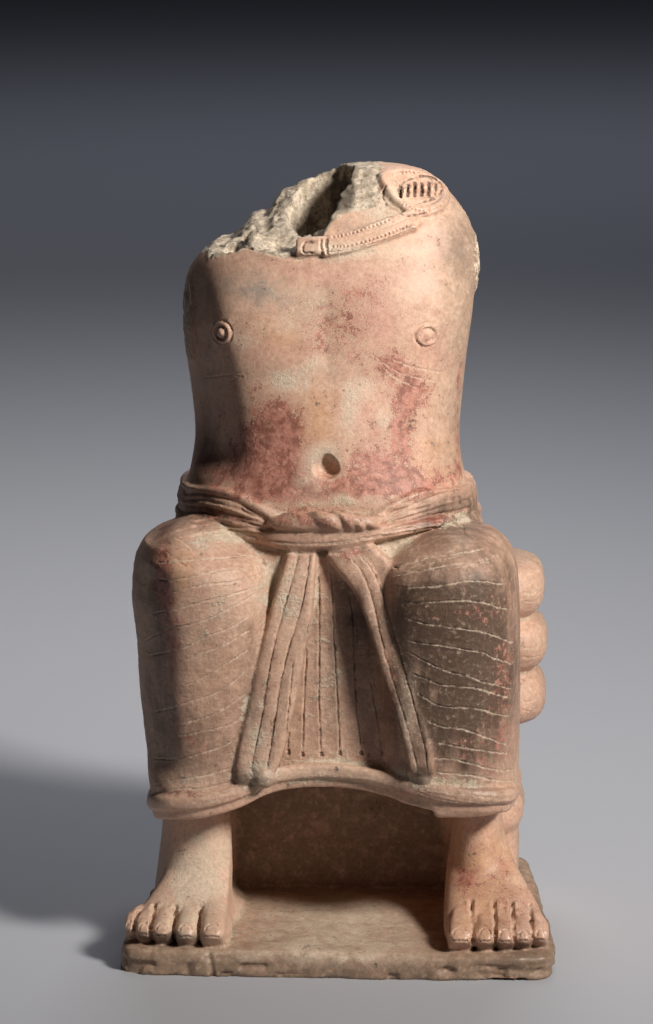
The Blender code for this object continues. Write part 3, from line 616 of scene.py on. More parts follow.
def bore_cutter():
    """Hollow down the neck, widening towards its mouth."""
    radius, depth, lip = BORE_RADIUS, BORE_DEPTH, NECK_LIP
    rows = [(lip - depth, -5 - 0.6 * radius, -5 + 0.6 * radius, 18 - 0.6 * radius, 18 + 0.6 * radius, 2.0),
            (lip - 0.85 * depth, -5 - radius, -5 + radius, 18 - radius, 18 + radius, 2.0),
            (lip - 0.15 * depth, -5 - radius, -5 + radius, 17 - radius, 17 + radius, 2.0),
            (lip + 12, -9 - 1.4 * radius, -5 + radius, 14 - 1.5 * radius, 18 + 1.4 * radius, 2.0),
            (lip + 60, -9 - 1.6 * radius, -5 + radius, 14 - 2 * radius, 18 + 1.5 * radius, 2.0)]
    return clay("bore_cutter", [loft(rows, sides=32, steps=4)])


def arm_cutters():
    """Rough faces where the arms broke away."""
    cutters = []
    for side, face_x, height in ((-1, -89.0, 338), (1, 72.0, 361)):
        rows = []
        for depth in np.linspace(-14, 58, 13):
            bulge = 3.0 * noise(np.array([[depth, face_x, 3.0]]), 11.0)[0]
            inner = face_x + side * (0.10 * abs(depth - 20) + bulge)
            low, high = sorted((inner, face_x + side * 40))
            rows.append((depth, low, high, height - 32 + 2 * bulge, height + 26, 6.0))
        cutters.append(clay("arm_cutter", [loft(rows, "Y", steps=3)]))
    return cutters


def niche_cutter():
    """Opening between the ankles, under the hem."""
    (low, high), top, rear = NICHE_SIDES, NICHE_TOP, NICHE_REAR
    rows = [(-110, low, high, 0.0, top, 9.0), (-30, low, high, 0.0, top, 9.0),
            (rear - 6, low - 6, high, 0.0, top, 9.0), (rear, low - 2, high - 4, 2.0, top - 4, 7.0)]
    return clay("niche_cutter", [loft(rows, "Y", steps=2)])


def slab():
    """Hand-cut slab with soft corners, narrower behind."""
    half_width, half_depth = SLAB_HALF
    across, along = oval(200, 12.0)
    rings = []
    edge = 0.22 * SLAB
    for height, inset in ((-SLAB, 0.3), (-SLAB + 0.6, 0.0), (-1.6 * edge, 0.0), (-0.5 * edge, 0.35 * edge),
                          (0.0, 1.2 * edge)):
        x = across * (half_width - inset) * (1 - SLAB_TAPER * (along + 1) / 2)
        rings.append(np.column_stack([x, along * (half_depth - inset), np.full(len(x), height)]))
    return clay("slab", [tube(np.array(rings))])


def built_figure():
    """The figure with its forms fused, before its surface is worked."""
    figure = clay("seated_figure_clay", torso() + skirt_body() + legs() + seat() + apron() + feet())
    fuse(figure, BODY_GRAIN, 10)
    cut(figure, niche_cutter())
    for cutter in [break_cutter(), bore_cutter()] + arm_cutters():
        cut(figure, cutter)
    details = clay("details", sash() + tails() + hem() + chest_details() + toes(LEFT_TOES, -80)
                   + toes(RIGHT_TOES, 78))
    join(figure, [details, slab()])
    fuse(figure, GRAIN, 3)
    return figure


# Scratched lines, as seen from the front: (x, height)

LEFT_LEG_LINES = [
    [(-97, 210), (-79, 213), (-52, 212), (-39, 205)], [(-96, 201), (-77, 205), (-60, 208), (-42, 205)],
    [(-89, 196), (-71, 201), (-51, 202), (-39, 202)], [(-100, 181), (-92, 185), (-71, 192), (-51, 196), (-41, 197)],
    [(-107, 161), (-101, 167), (-88, 176), (-69, 182), (-57, 188), (-43, 194)],
    [(-104, 155), (-90, 162), (-77, 168), (-68, 173), (-57, 177), (-46, 183)],
    [(-81, 158), (-72, 163), (-61, 167), (-52, 172), (-46, 175)], [(-81, 144), (-68, 151), (-57, 158), (-47, 164)],
    [(-102, 123), (-82, 134), (-68, 139), (-57, 145), (-49, 152)], [(-87, 122), (-72, 126), (-61, 131), (-49, 139)],
    [(-87, 115), (-71, 119), (-58, 122), (-50, 127)], [(-103, 96), (-89, 101), (-74, 106), (-62, 110), (-56, 113)],
    [(-102, 84), (-86, 91), (-71, 94), (-57, 98)], [(-98, 82), (-86, 86), (-74, 87), (-57, 90)]]
RIGHT_LEG_LINES = [
    [(33, 200), (48, 201), (55, 202), (66, 204), (75, 204), (90, 199)],
    [(35, 192), (42, 192), (48, 193), (66, 194), (78, 192), (93, 184)],
    [(34, 184), (48, 181), (69, 178), (82, 174), (95, 164)], [(37, 171), (55, 169), (75, 165), (84, 160), (95, 153)],
    [(37, 165), (55, 156), (70, 151), (84, 145), (94, 139)], [(39, 153), (55, 147), (75, 144), (93, 135)],
    [(42, 142), (55, 135), (75, 133), (84, 129), (93, 124)], [(48, 126), (57, 123), (70, 121), (82, 115), (92, 109)],
    [(53, 114), (75, 110), (93, 104)], [(51, 106), (70, 103), (95, 93)], [(52, 98), (75, 95), (95, 87)],
    [(31, 205), (42, 208), (60, 212), (82, 212)], [(29, 208), (47, 214), (65, 217), (78, 218)]]
APRON_LINES = [
    [(-24, 157), (-26, 136), (-28, 103)], [(-15, 178), (-17, 168), (-19, 133), (-20, 102)],
    [(-11, 203), (-11, 166), (-11, 133), (-10, 102)], [(-4, 204), (-3, 166), (-1, 133), (0, 102)],
    [(6, 190), (8, 166), (9, 133), (12, 103)], [(17, 143), (21, 119), (23, 104)]]
APRON_FOOT = [[(-32, 98.5), (-10, 97.5), (6, 97.5), (27, 99.5)]]
PIT_MARKS = [[(x, z), (x + 0.4, z - 3)] for x, z in
             ((-28, 104), (-20, 103), (-10, 103), (0, 103.5), (12, 104), (23, 105))]
# pleats of the sash, running together at the knot
SASH_PLEATS = [[(-88, a), (-74, b), (-56, c), (-39, d)] for a, b, c, d in
               ((236, 240, 238, 230.5), (233, 236.5, 234.5, 229), (230, 233, 231, 227.5), (227, 229.5, 228, 226),
                (224, 226, 225, 224), (221, 223, 222.5, 222))]
SASH_PLEATS += [[(22, a), (36, b), (54, c), (70, d)] for a, b, c, d in
                ((231, 236.5, 241, 241.5), (229.5, 233.5, 237, 237.5), (228, 231, 234, 234), (226.5, 228.5, 230.5, 230),
                 (225, 226, 227.5, 226), (222, 224, 225, 222.5))]
THIGH_PLEATS = [[(x, z), (x + 0.35 * (-38 - x), z - 5 + 0.1 * (x + 60)), (-39, 205)] for x, z in
                ((-92, 216), (-84, 221), (-75, 224), (-66, 224), (-57, 221), (-49, 217))]
THIGH_PLEATS += [[(x, z), (x - 0.3 * (x - 28), z - 3), (28, 207)] for x, z in
                 ((84, 214), (74, 218), (64, 219), (54, 217), (44, 214))]
ROLL_PLEATS = [[(-50, 217), (-30, 213.5), (-10, 213), (8, 215), (26, 218.5)],
               [(-52, 221), (-34, 219), (-10, 219), (10, 221.5), (30, 224)]]
HEM_LINES = [
    [(-81, 82), (-59, 85), (-47, 89), (-36, 93)], [(-79, 80), (-59, 82), (-45, 86)],
    [(-92, 83), (-81, 84), (-62, 86), (-49, 90)], [(42, 89), (56, 86), (75, 83), (94, 79)],
    [(40, 90), (56, 88), (75, 86), (95, 81)], [(39, 88), (56, 84), (75, 81), (93, 77)],
    [(43, 91), (56, 90), (75, 88), (95, 84)]]
CHEST_LINES = [
    [(-77, 299), (-59, 305), (-47, 310)], [(-61, 301), (-54, 304), (-47, 308)], [(-60, 306), (-55, 304), (-51, 305)],
    [(21, 314), (32, 307), (52, 300)], [(22, 311), (30, 304), (41, 298)], [(26, 316), (38, 310), (54, 305)]]
SHOULDER_LINES = [[(-70, 370), (-56, 372), (-42, 370), (-27, 367), (-20, 367)]]
ROLL_LINES = [[(x, z), (x + 5, z - 2), (x + 9, z - 1)] for x, z in
              ((98, 176), (99, 171), (98, 145), (99, 139), (98, 114), (99, 108))]
CLEFTS = [[(-109.1, 17), (-110.4, 6)], [(-100.9, 18), (-100.6, 5)], [(-89.1, 18), (-88.6, 5)],
          [(-75.1, 18), (-74.6, 4)], [(71.9, 22), (74.0, 5)], [(84.5, 22), (85.5, 6)], [(94.0, 22), (96.0, 6)],
          [(104.1, 21), (105.5, 7)]]
COLLAR_EDGES = [[(-9, 376.5), (4.2, 378.5), (15.4, 381.5), (26.7, 385.5), (36, 389)],
                [(-9, 371.5), (2, 372.6), (15.8, 375.6), (29, 379.6), (39, 384)]]
COLLAR_TICKS = [[(-7, 378.7), (4.4, 381.1), (15.6, 384.5), (26.7, 388.3)],
                [(-7, 373.9), (3.6, 374.9), (15.8, 378.0), (26.9, 381.6), (36.8, 385.6)]]
CLASP_LINES = [[(-15, 376.5), (-20, 376.5), (-20.5, 371.5), (-15, 371)], [(-11.4, 378.5), (-10.8, 369.5)],
               [(-8.4, 378.5), (-8.0, 369.8)]]
BROOCH_TICKS = [[(30, 397), (35.5, 393.6), (42.5, 391.6), (51, 393.4)], [(28.6, 409), (33.7, 410.6), (40, 409.4)]]
BROOCH_RIDGES = [[(30.3 + 3.7 * k, 398.2), (30.3 + 3.7 * k, 405.8 - 0.3 * (k - 2.5) ** 2)] for k in range(6)]


def ring(x, z, wide, tall=None, turns=14):
    """A closed oval seen from the front."""
    tall = tall or wide
    return [(x + wide * math.cos(a), z + tall * math.sin(a)) for a in np.linspace(0, 2 * math.pi, turns)]


def tail_grooves(rows, columns):
    """Lines between the ridges of a hanging end."""
    return [[(row[k], row[0]) for row in rows] for k in columns]


NIPPLE_RINGS = [ring(-65.3, 327.3, 3.6), ring(-65.3, 327.3, 6.3), ring(45.6, 326.9, 3.6), ring(45.6, 326.9, 6.5)]
# a nail is an arch, with the toe's end pressed flat below it
NAILS = [ring(x, z, 0.55 * half, 2.6)[:8] for (x, _, half), z in
         zip(LEFT_TOES + RIGHT_TOES, (9, 10, 10.5, 11, 11.5, 11.5, 11, 10.5, 10, 9.5))]
NAIL_TIPS = [[(x - 0.6 * half, z - 0.2), (x, z + 0.2), (x + 0.6 * half, z - 0.4)] for (x, _, half), z in
             zip(LEFT_TOES + RIGHT_TOES, (7.0, 7.4, 7.6, 7.8, 8.2, 8.2, 7.8, 7.6, 7.4, 7.0))]
BROOCH_EDGE = [ring(40.5, 401.6, 11.6, 6.2, 24), ring(38, 400, 17.2, 10.4, 30)[12:28]]

# (lines, half width, depth, spacing of the marks along them, share of pale deposit or, below 0, of dark soil and
# painted shade in them)
SCORED = [(LEFT_LEG_LINES, 0.6, 0.7, 0, 0.6), (RIGHT_LEG_LINES, 0.55, 0.75, 0, 0.7), (APRON_LINES, 0.6, 0.9, 0, -0.6),
          (PIT_MARKS, 1.2, 1.3, 0, -0.9), (APRON_FOOT, 0.6, 0.5, 0, 0.6), (SASH_PLEATS, 1.0, 0.8, 0, -0.25),
          (THIGH_PLEATS, 0.9, 0.4, 0, 0.3), (ROLL_PLEATS, 1.0, 0.7, 0, 0.3),
          (tail_grooves(LEFT_TAIL, (2, 3)), 0.6, 0.7, 0, -0.4), (tail_grooves(RIGHT_TAIL, (2, 3)), 0.6, 0.7, 0, -0.3),
          (HEM_LINES, 0.5, 0.35, 0, 0.5), (CHEST_LINES, 0.55, 0.45, 0, 0.5), (SHOULDER_LINES, 0.8, 0.6, 0, 0.6),
          (ROLL_LINES, 0.6, 0.5, 0, 0.4), (CLEFTS, 1.6, 3.2, 0, 0.6), (NAILS, 0.8, 0.8, 0, -0.3),
          (NAIL_TIPS, 1.0, 1.1, 0, -0.4), (NIPPLE_RINGS, 0.8, 0.6, 0, -0.3), (COLLAR_EDGES, 0.6, 0.6, 0, -0.3),
          (COLLAR_TICKS, 1.1, 1.0, 2.2, -0.5), (CLASP_LINES, 0.8, 1.1, 0, -0.7),
          (BROOCH_TICKS, 1.1, 0.9, 2.4, -0.4), (BROOCH_RIDGES, 0.95, 1.8, 0, -1.0), (BROOCH_EDGE, 0.8, 0.8, 0, -0.6)]


def laid_on(tree, line, steps=10):
    """A line seen from the front, laid on the surface."""
    out = []
    for x, z in flow(line, steps):
        place = tree.ray_cast(Vector((x, -200.0, z)), Vector((0, 1, 0)))[0]
        if place is not None:
            out.append(place)
    return np.array(out)


class Near:
    """Looks up whether points lie near any of some lines, in cells of space."""
    CELL = 3.0

    def __init__(self, lines):
        points = np.vstack(lines)
        self.low = points.min(0) - 2 * self.CELL
        self.shape = ((points.max(0) - self.low) / self.CELL).astype(int) + 3
        self.full = np.zeros(self.shape, bool)
        for line in lines:
            for a, b in zip(line, line[1:]):
                count = int(np.linalg.norm(b - a)) + 2
                cells = ((a + (b - a) * np.linspace(0, 1, count)[:, None] - self.low) / self.CELL).astype(int)
                for step in itertools.product((-1, 0, 1), repeat=3):
                    self.full[tuple((cells + step).T)] = True

    def __call__(self, points):
        cells = ((points - self.low) / self.CELL).astype(int)
        inside = np.all((cells >= 0) & (cells < self.shape), axis=1)
        out = np.zeros(len(points), bool)
        out[inside] = self.full[tuple(cells[inside].T)]
        return out


def softened(obj, rounds):
    """Vertices of an object after many rounds of smoothing."""
    soft = obj.copy()
    soft.data = obj.data.copy()
    bpy.context.scene.collection.objects.link(soft)
    smooth(soft, rounds)
    verts = mesh_arrays(soft)[0]
    bpy.data.objects.remove(soft, do_unlink=True)
    return verts


def spots(points, rows):
    """Soft round or oval patches seen from the front: (x, height, half width, half height, strength)."""
    out = np.zeros(len(points))
    facing = ramp(30, -5, points[:, 1])
    for x, z, wide, tall, strength in rows:
        away = ((points[:, 0] - x) / wide) ** 2 + ((points[:, 2] - z) / tall) ** 2
        out += strength * np.exp(-1.2 * away)
    return out * facing


# patches of the finish, seen from the front: (x, height, half width, half height, strength)
PATCHES = {
    "slip": [(-36, 283, 16, 14, 1.05), (-30, 262, 13, 22, 1.3), (-47, 260, 17, 20, 1.25), (-8, 247, 56, 8, 1.0),
        (18, 258, 19, 13, 1.0), (46, 247, 18, 8, 0.7), (33, 278, 9, 22, 0.9), (20, 276, 8, 6, 0.5),
        (-4, 338, 20, 12, 0.7), (-14, 322, 12, 10, 0.5), (8, 320, 12, 12, 0.5), (27, 312, 11, 7, 1.0),
        (37, 300, 14, 11, 0.8), (44, 292, 10, 5, 0.6), (62, 300, 2.5, 14, 0.8), (62, 262, 3, 20, 0.7),
        (-50, 300, 10, 5, 0.35), (-70, 250, 12, 14, 0.5), (12, 352, 14, 7, 0.6), (-24, 346, 18, 8, 0.45),
        (-66, 338, 12, 10, 0.3), (-94, 205, 7, 26, 0.8), (-88, 170, 7, 34, 0.75), (-80, 112, 24, 9, 0.4),
        (-84, 84, 24, 3, 0.7), (78, 108, 20, 14, 0.5), (88, 150, 8, 40, 0.5), (64, 190, 24, 10, 0.3),
        (50, 229, 34, 2.5, 0.8), (-62, 229, 26, 3, 0.6), (-12, 232, 22, 4, 0.7), (6, 214, 12, 4, 0.7),
        (70, 30, 9, 7, 1.3), (88, 36, 8, 6, 0.7), (76, 47, 8, 5, 0.6), (92, 20, 16, 12, 0.6), (36, 86, 20, 3, 0.6),
        (10, 2, 36, 4, 0.45), (-50, 215, 16, 5, 0.4), (58, 3, 20, 5, 0.4), (-70, 10, 8, 8, 0.5),
        (28, 150, 4, 50, 0.45), (-34, 150, 5, 50, 0.3)],
    "warm": [(-88, 214, 13, 9, 1.0), (-33, 329, 14, 10, 0.7), (-12, 284, 13, 17, 1.0), (50, 262, 16, 16, 0.7),
        (-64, 150, 20, 26, 0.4), (-84, 205, 8, 18, 0.8), (20, 92, 30, 4, 0.3), (98, 60, 14, 20, 0.8),
        (60, 350, 16, 14, 0.3), (76, 30, 22, 26, 1.1)],
    "pink": [(20, 335, 16, 18, 0.9), (8, 290, 14, 14, 0.8), (-40, 318, 22, 8, 0.5), (52, 318, 14, 16, 0.6),
        (-8, 360, 50, 8, 0.6), (34, 262, 20, 12, 0.5), (-70, 190, 16, 30, 0.4), (-70, 222, 18, 5, 0.6)],
    "pale": [(-28, 303, 13, 6, 1.0), (-14, 311, 12, 5, 0.6), (5, 288, 5, 11, 0.9), (22, 284, 5, 7, 0.8),
        (-10, 263, 13, 8, 0.9), (-19, 250, 7, 4, 0.8), (-30, 333, 18, 7, 0.4), (-55, 322, 10, 8, 0.4),
        (-16, 345, 22, 8, 0.5), (10, 300, 10, 8, 0.5), (-60, 190, 14, 22, 0.4), (-44, 110, 10, 34, 0.5),
        (0, 92, 96, 6, 0.5), (-34, 196, 12, 14, 0.7), (-5, 150, 24, 56, 0.3), (38, 130, 7, 50, 0.4),
        (0, 372, 46, 5, 0.8), (20, 395, 16, 12, 0.8), (-66, 221, 20, 5, 0.6), (-80, 34, 26, 28, 1.0),
        (0, 1, 60, 8, 0.7), (-6, 241, 26, 3, 0.9), (30, 216, 12, 6, 0.6), (-45, 352, 16, 7, 0.35),
        (64, 226, 10, 12, 0.4)],
    "soot": [(-42, 350, 17, 10, 0.75), (-58, 354, 12, 7, 0.5), (-8, 352, 6, 8, 0.35), (4, 384, 8, 4, 0.4),
        (-8, 262, 12, 6, 0.3), (-74, 300, 10, 60, 0.3)],
    # dark brown patches: partly soil and stain, partly painted shade on the shaded left flank and left leg, beside and
    # under the tails and on the apron in the right tail's shadow
    "dark_soil_and_shade": [(66, 150, 34, 60, 1.25), (50, 190, 16, 16, 0.9), (84, 200, 12, 18, 0.4), (-82, 112, 30, 26, 0.45),
        (-48, 150, 12, 50, 0.4), (-96, 160, 10, 50, 0.5), (-66, 229, 24, 5, 0.5), (66, 372, 22, 22, 0.4),
        (104, -4, 24, 8, 0.45), (30, 150, 10, 60, 0.35), (10, 180, 12, 30, 0.4), (62, 230, 26, 11, 0.6),
        (-75, 255, 10, 26, 0.6), (-45, 93, 12, 6, 0.9), (44, 94, 9, 6, 0.9), (-4, 150, 26, 55, 0.3),
        (-90, 5, 26, 5, 1.0), (88, 4, 26, 4, 0.7), (-96, 250, 8, 60, 0.5)]}


def breaks(points):
    """Where the surface is a break: the neck, the hollow in it and the two arms."""
    x, y, z = points.T
    clasp = band(x, -27, -25.5, -9, -7.5) * ramp(382.5, 381, z) * ramp(-18, -21, y)
    top = ramp(-2.2, -1.0, z - break_height(x, y)) * ramp(23, 17, x) * (1 - clasp)
    hollow = ramp(14, 11, np.hypot(x + 6, y - 17)) * ramp(318, 322, z)
    above_collar = z - np.interp(x, (-9.5, 4.2, 15.4, 26.7), (380.5, 384.5, 388.5, 393))
    raw = ramp(4.5, 7.0, above_collar + 2 * noise(points, 5.0, 43)) * ramp(21, 16, x + 3 * noise(points, 7.0, 44))
    raw = raw * ramp(-12, -8, x)
    left, right = (ramp(*face, x) * ramp(*foot, z) * ramp(*head, z) * ramp(62, 56, y) * ramp(-16, -10, y)
                   for face, foot, head in (((-84.5, -86.5), (306, 309), (366, 362)),
                                            ((69.5, 71.2), (326, 331), (392, 386))))
    return np.clip(top + hollow + raw + 0.55 * left + 0.55 * right, 0, 1)


def leg_ring(z):
    """The left leg's low x, high x, front, rear and squareness at a height."""
    return [np.interp(z, (96, 129, 160, 185, 203), row) for row in
            ((-107.5, -111, -112.5, -114.5, -113), (-37, -36, -35, -35, -38), (-78, -79, -82, -86, -86),
             (24, 26, 26, 26, 22), (2.7, 2.7, 2.7, 2.7, 2.5))]


def beyond_corner(x, y, ring):
    """How far points stand beyond the left front corner of a ring, less than 0 inside it."""
    x0, x1, y0, y1, square = ring
    q = square / (square - 1)
    reach = (np.abs(0.8 * (x1 - x0) / 2) ** q + np.abs(0.6 * (y1 - y0) / 2) ** q) ** (1 / q)
    return -0.8 * (x - (x0 + x1) / 2) - 0.6 * (y - (y0 + y1) / 2) - reach


def soft_step(value, width):
    """The value where it is above 0 and 0 below, smooth between; at most 7.5."""
    return np.minimum(0.5 * (value + np.sqrt(value ** 2 + width ** 2)) * ramp(-2.5 * width, 0, value), 7.5)


def modelling(points, broken):
    """Height added along the normal: soft forms of the body, cloth pleats, hand marks and the raw breaks."""
    x, y, z = points.T
    front = ramp(10, -15, y)
    out = np.zeros(len(points))
    for lift, *place in ((1.9, -50, 333, 24, 20), (1.9, 32, 335, 26, 20), (1.6, -8, 282, 40, 26),
                         (-0.9, -8, 325, 5, 30), (-0.7, -8, 303, 60, 6), (-0.8, -60, 358, 18, 8)):
        out += front * lift * hill(x, z, *place)
    # the left flank and the left leg are flattened towards the front
    flank = band(z, 243, 262, 345, 368) * (1 - broken)
    deep = np.interp(z, (250, 290, 330, 350), (7.0, 6.5, 4.8, 3.5))
    out -= soft_step(beyond_corner(x, y, torso_ring(z)) + deep, 2.5) * flank
    leg = band(z, 84, 102, 200, 222) * ramp(-62, -76, x) * ramp(10, -10, y)
    out -= soft_step(beyond_corner(x, y, leg_ring(z)) + 5.0, 5.0) * leg
    # the left knee's chipped crest
    out += noise(points, 3.2, 50) * hill(x, z, -76, 227, 9, 5)
    # nipples: a ring and a knob
    for cx, cz, knob in ((-65.3, 327.3, 2.3), (45.6, 326.9, 0.9)):
        away = np.hypot(x - cx, z - cz)
        rim = 1.1 * np.exp(-((away - 5.0) / 1.0) ** 2)
        out += front * (rim + knob * np.exp(-(away / 2.4) ** 4))
    # navel: a pit, wider at its foot
    across = (x + 7.2) / (7.4 - 0.34 * (z - 257))
    within = ramp(0, 1.0, 1.1 - across ** 2 - ((z - 258.6) / 6.8) ** 2) * ramp(272, 268, z) * ramp(244, 248, z)
    out -= front * 8.0 * within
    # pleats of the sash
    belt = band(z, 211, 216, 242, 246) * ramp(6, 12, np.abs(x - KNOT_X) - 12)
    out += belt * 0.5 * noise(points, (46, 46, 2.3), 11)
    # hollow of the brooch
    out -= 1.2 * np.exp(-((x - 41) / 11) ** 6 - ((z - 402) / 4.2) ** 4) * front
    # scraping and hand marks, plainer behind
    plain = 1 - broken
    bare = ramp(242, 250, z)
    out += plain * (0.42 * noise(points, 26.0, 1) + (0.16 - 0.09 * bare) * noise(points, 9.0, 2)
                    + (0.05 - 0.035 * bare) * noise(points, 3.6, 3))
    out += plain * ramp(40, 80, y) * 0.5 * noise(points, (9, 30, 60), 12)
    # drag marks on the skirt between the scratched lines
    out += band(z, 90, 100, 212, 222) * front * 0.16 * noise(points, (16, 16, 3.0), 14)
    # worn and chipped slab
    slab_edge = ramp(0.5, -2.5, z)
    edge = rough(points, 14.0, 20)
    out += slab_edge * (1.1 * edge + 0.9 * noise(points, 34.0, 27) + 0.35 * noise(points, 3.0, 26)
                        - 1.9 * ramp(0.25, 0.6, noise(points, (10, 10, 4), 24)))
    flakes = np.sin(z * 1.1 + 0.05 * (x - 70) + 3.0 * noise(points, (26, 26, 14), 25))
    out += ramp(66, 80, x) * ramp(-60, -80, y) * ramp(-3, -6, z) * (0.5 * flakes - 1.4)
    out -= 1.8 * np.exp(-((x + 69 + 0.2 * z) / 1.3) ** 2) * ramp(-84, -92, y) * slab_edge
    # raw breaks
    out += broken * (0.6 * rough(points, 7.0, 30) + 0.5 * noise(points, 1.9, 33)
                     - 1.3 * ramp(0.35, 0.7, noise(points, 2.9, 34)))
    return out


def scored_lines(tree):
    """Every scored line laid on the surface, with its half width, depth, spacing and share of deposit."""
    laid = [(laid_on(tree, line), *press) for lines, *press in SCORED for line in lines]
    return [row for row in laid if len(row[0]) > 2]


def line_grain(points, scored, near):
    """Longest edge wanted at points: short along the scored lines."""
    length = np.full(len(points), 9.0)
    close = np.flatnonzero(near(points))
    away = np.full(len(close), 9.0)
    for line, *_ in scored:
        away = np.minimum(away, line_distance(points[close], line, 2.2)[0])
    length[close[away < LINE_REACH]] = LINE_GRAIN
    return length


def pressed(verts, normal, scored, near):
    """Press the lines into the surface in place; returns the pale deposit and the dark soil with painted shade left in
    them.
    """
    close = np.flatnonzero(near(verts))
    wobble = verts[close] + 0.35 * noise(verts[close], 2.5, 60)[:, None]
    height, pale_line, soil_and_shade_line = (np.zeros(len(close)) for _ in range(3))
    for number, (line, half, depth, spacing, pale) in enumerate(scored):
        away, share = line_distance(wobble, line, 2.8)
        start, end = ramp(0, 0.05, share), ramp(0, 0.05, 1 - share)
        deep = depth * (0.75 + 0.25 * np.sin(share * 23 + number)) * start * end
        if spacing:
            length = np.sum(np.linalg.norm(np.diff(line, axis=0), axis=1))
            deep = deep * ramp(-0.3, 0.3, np.cos(2 * math.pi * share * length / spacing))
        press = np.clip(1 - away / half, 0, 1) ** 0.8
        lip = 0.22 * deep * np.exp(-((away - 1.45 * half) / (0.45 * half)) ** 2)
        height += np.where(away < PRESS_REACH, lip - deep * press, 0.0)
        strength = start * end * np.clip(1.35 - away / half, 0, 1)
        if pale > 0:
            pale_line = np.maximum(pale_line, pale * strength)
        else:
            # dark soil and painted shade, only where the line is pressed deep
            soil_and_shade_line = np.maximum(soil_and_shade_line, -pale * strength * ramp(0.0, 0.3, deep))
    verts[close] += normal[close] * height[:, None]
    line_deposits_and_shade = np.zeros((2, len(verts)))
    line_deposits_and_shade[:, close] = pale_line, soil_and_shade_line
    return line_deposits_and_shade


def stood_flat(verts):
    """Press the slab's underside flat, in place."""
    low = -SLAB
    verts[:, 2] = np.where(verts[:, 2] < low + 1.2, low + 0.25 * (verts[:, 2] - low), verts[:, 2])
    verts[:, 2] = np.maximum(verts[:, 2], low)


def finish_shares(verts):
    """Where the finish changes: patches, cloth, painted shade in the niche, darkening towards the bottom, painted shade
    in the neck and dull film.
    """
    x, y, z = verts.T
    # the niche under the hem is painted in shade, and everything is darker towards the bottom
    niche = band(y, -30, 15, 30, 50) * ramp(80, 70, z) * ramp(62, 56, np.abs(x + 4))
    # painted shade deep in the neck's bore
    neck = band(x, -14, -6, 4, 8) * band(z, 364, 370, 400, 409) * band(y, -16, -8, 36, 44)
    return {**{name: spots(verts, rows) for name, rows in PATCHES.items()},
            "low_dark_and_niche_shade": np.maximum(ramp(4.0, -2.0, z), 0.9 * niche), "depth": neck,
            "film": np.maximum(ramp(36, 74, x) * ramp(240, 255, z), 0.8 * ramp(20, 60, y)),
            "cloth": band(z, 74, 80, 240, 246) * ramp(60, 30, y)}


def clay_mesh(name, verts, tris, values):
    """Mesh of triangles that carries values for the finish."""
    mesh = bpy.data.meshes.new(name)
    mesh.vertices.add(len(verts))
    mesh.vertices.foreach_set("co", verts.ravel())
    mesh.loops.add(len(tris) * 3)
    mesh.loops.foreach_set("vertex_index", tris.ravel())
    mesh.polygons.add(len(tris))
    mesh.polygons.foreach_set("loop_start", np.arange(0, len(tris) * 3, 3))
    mesh.update(calc_edges=True)
    for key, value in values.items():
        mesh.attributes.new(key, "FLOAT", "POINT").data.foreach_set("value", value.astype(np.float32))
    return mesh


def worked(figure):
    """Model, score and roughen the surface; keep where it is hollow, broken or scored for the finish."""
    verts, tris = mesh_arrays(figure)
    normal = vertex_normals(verts, tris)
    fine, wide = (np.sum((softened(figure, rounds) - verts) * normal, axis=1) for rounds in (30, 240))
    hollow = np.clip(0.9 * fine + 0.30 * wide, -1.5, 1.5)
    broken = breaks(verts)
    verts = verts + normal * modelling(verts, broken)[:, None]
    scored = scored_lines(BVHTree.FromPolygons(verts.tolist(), tris.tolist()))
    near = Near([line for line, *_ in scored])
    table = np.column_stack([verts, hollow, broken])
    for _ in range(2):
        table, tris = refine(table, tris, lambda middle: line_grain(middle[:, :3], scored, near))
    verts, hollow, broken = table[:, :3], table[:, 3], table[:, 4]
    pale_line, soil_and_shade_line = pressed(verts, vertex_normals(verts, tris), scored, near)
    stood_flat(verts)
    figure.data = clay_mesh("seated_figure_clay", verts, tris, {
        "hollow": hollow, "broken": broken, "pale_line": pale_line, "soil_and_shade_line": soil_and_shade_line, **finish_shares(verts)})
    if len(tris) > TRIANGLES:
        thin = figure.modifiers.new("thin", "DECIMATE")
        thin.ratio = TRIANGLES / len(tris)
        thin.use_collapse_triangulate = True
        settle(figure)


# Finish

class Value:
    """A number that varies over the surface, as an expression that adds its Math nodes."""

    def __init__(self, finish, socket):
        self.finish, self.socket = finish, socket

    def math(self, operation, *others, clamp=False):
        values = [getattr(other, "socket", other) for other in others]
        return self.finish.node("ShaderNodeMath", {"operation": operation, "use_clamp": clamp},
                                dict(enumerate([self.socket, *values])))

    def __add__(self, other):
        return self.math("ADD", other)

    def __sub__(self, other):
        return self.math("SUBTRACT", other)

    def __mul__(self, other):
        return self.math("MULTIPLY", other)

    def __radd__(self, other):
        return self + other

    def __rmul__(self, other):
        return self * other

    def __rsub__(self, other):
        return self * -1.0 + other

    def above(self, low, high):
        """0 below low, 1 above high."""
        return ((self - low) * (1.0 / (high - low))).math("ADD", 0.0, clamp=True)


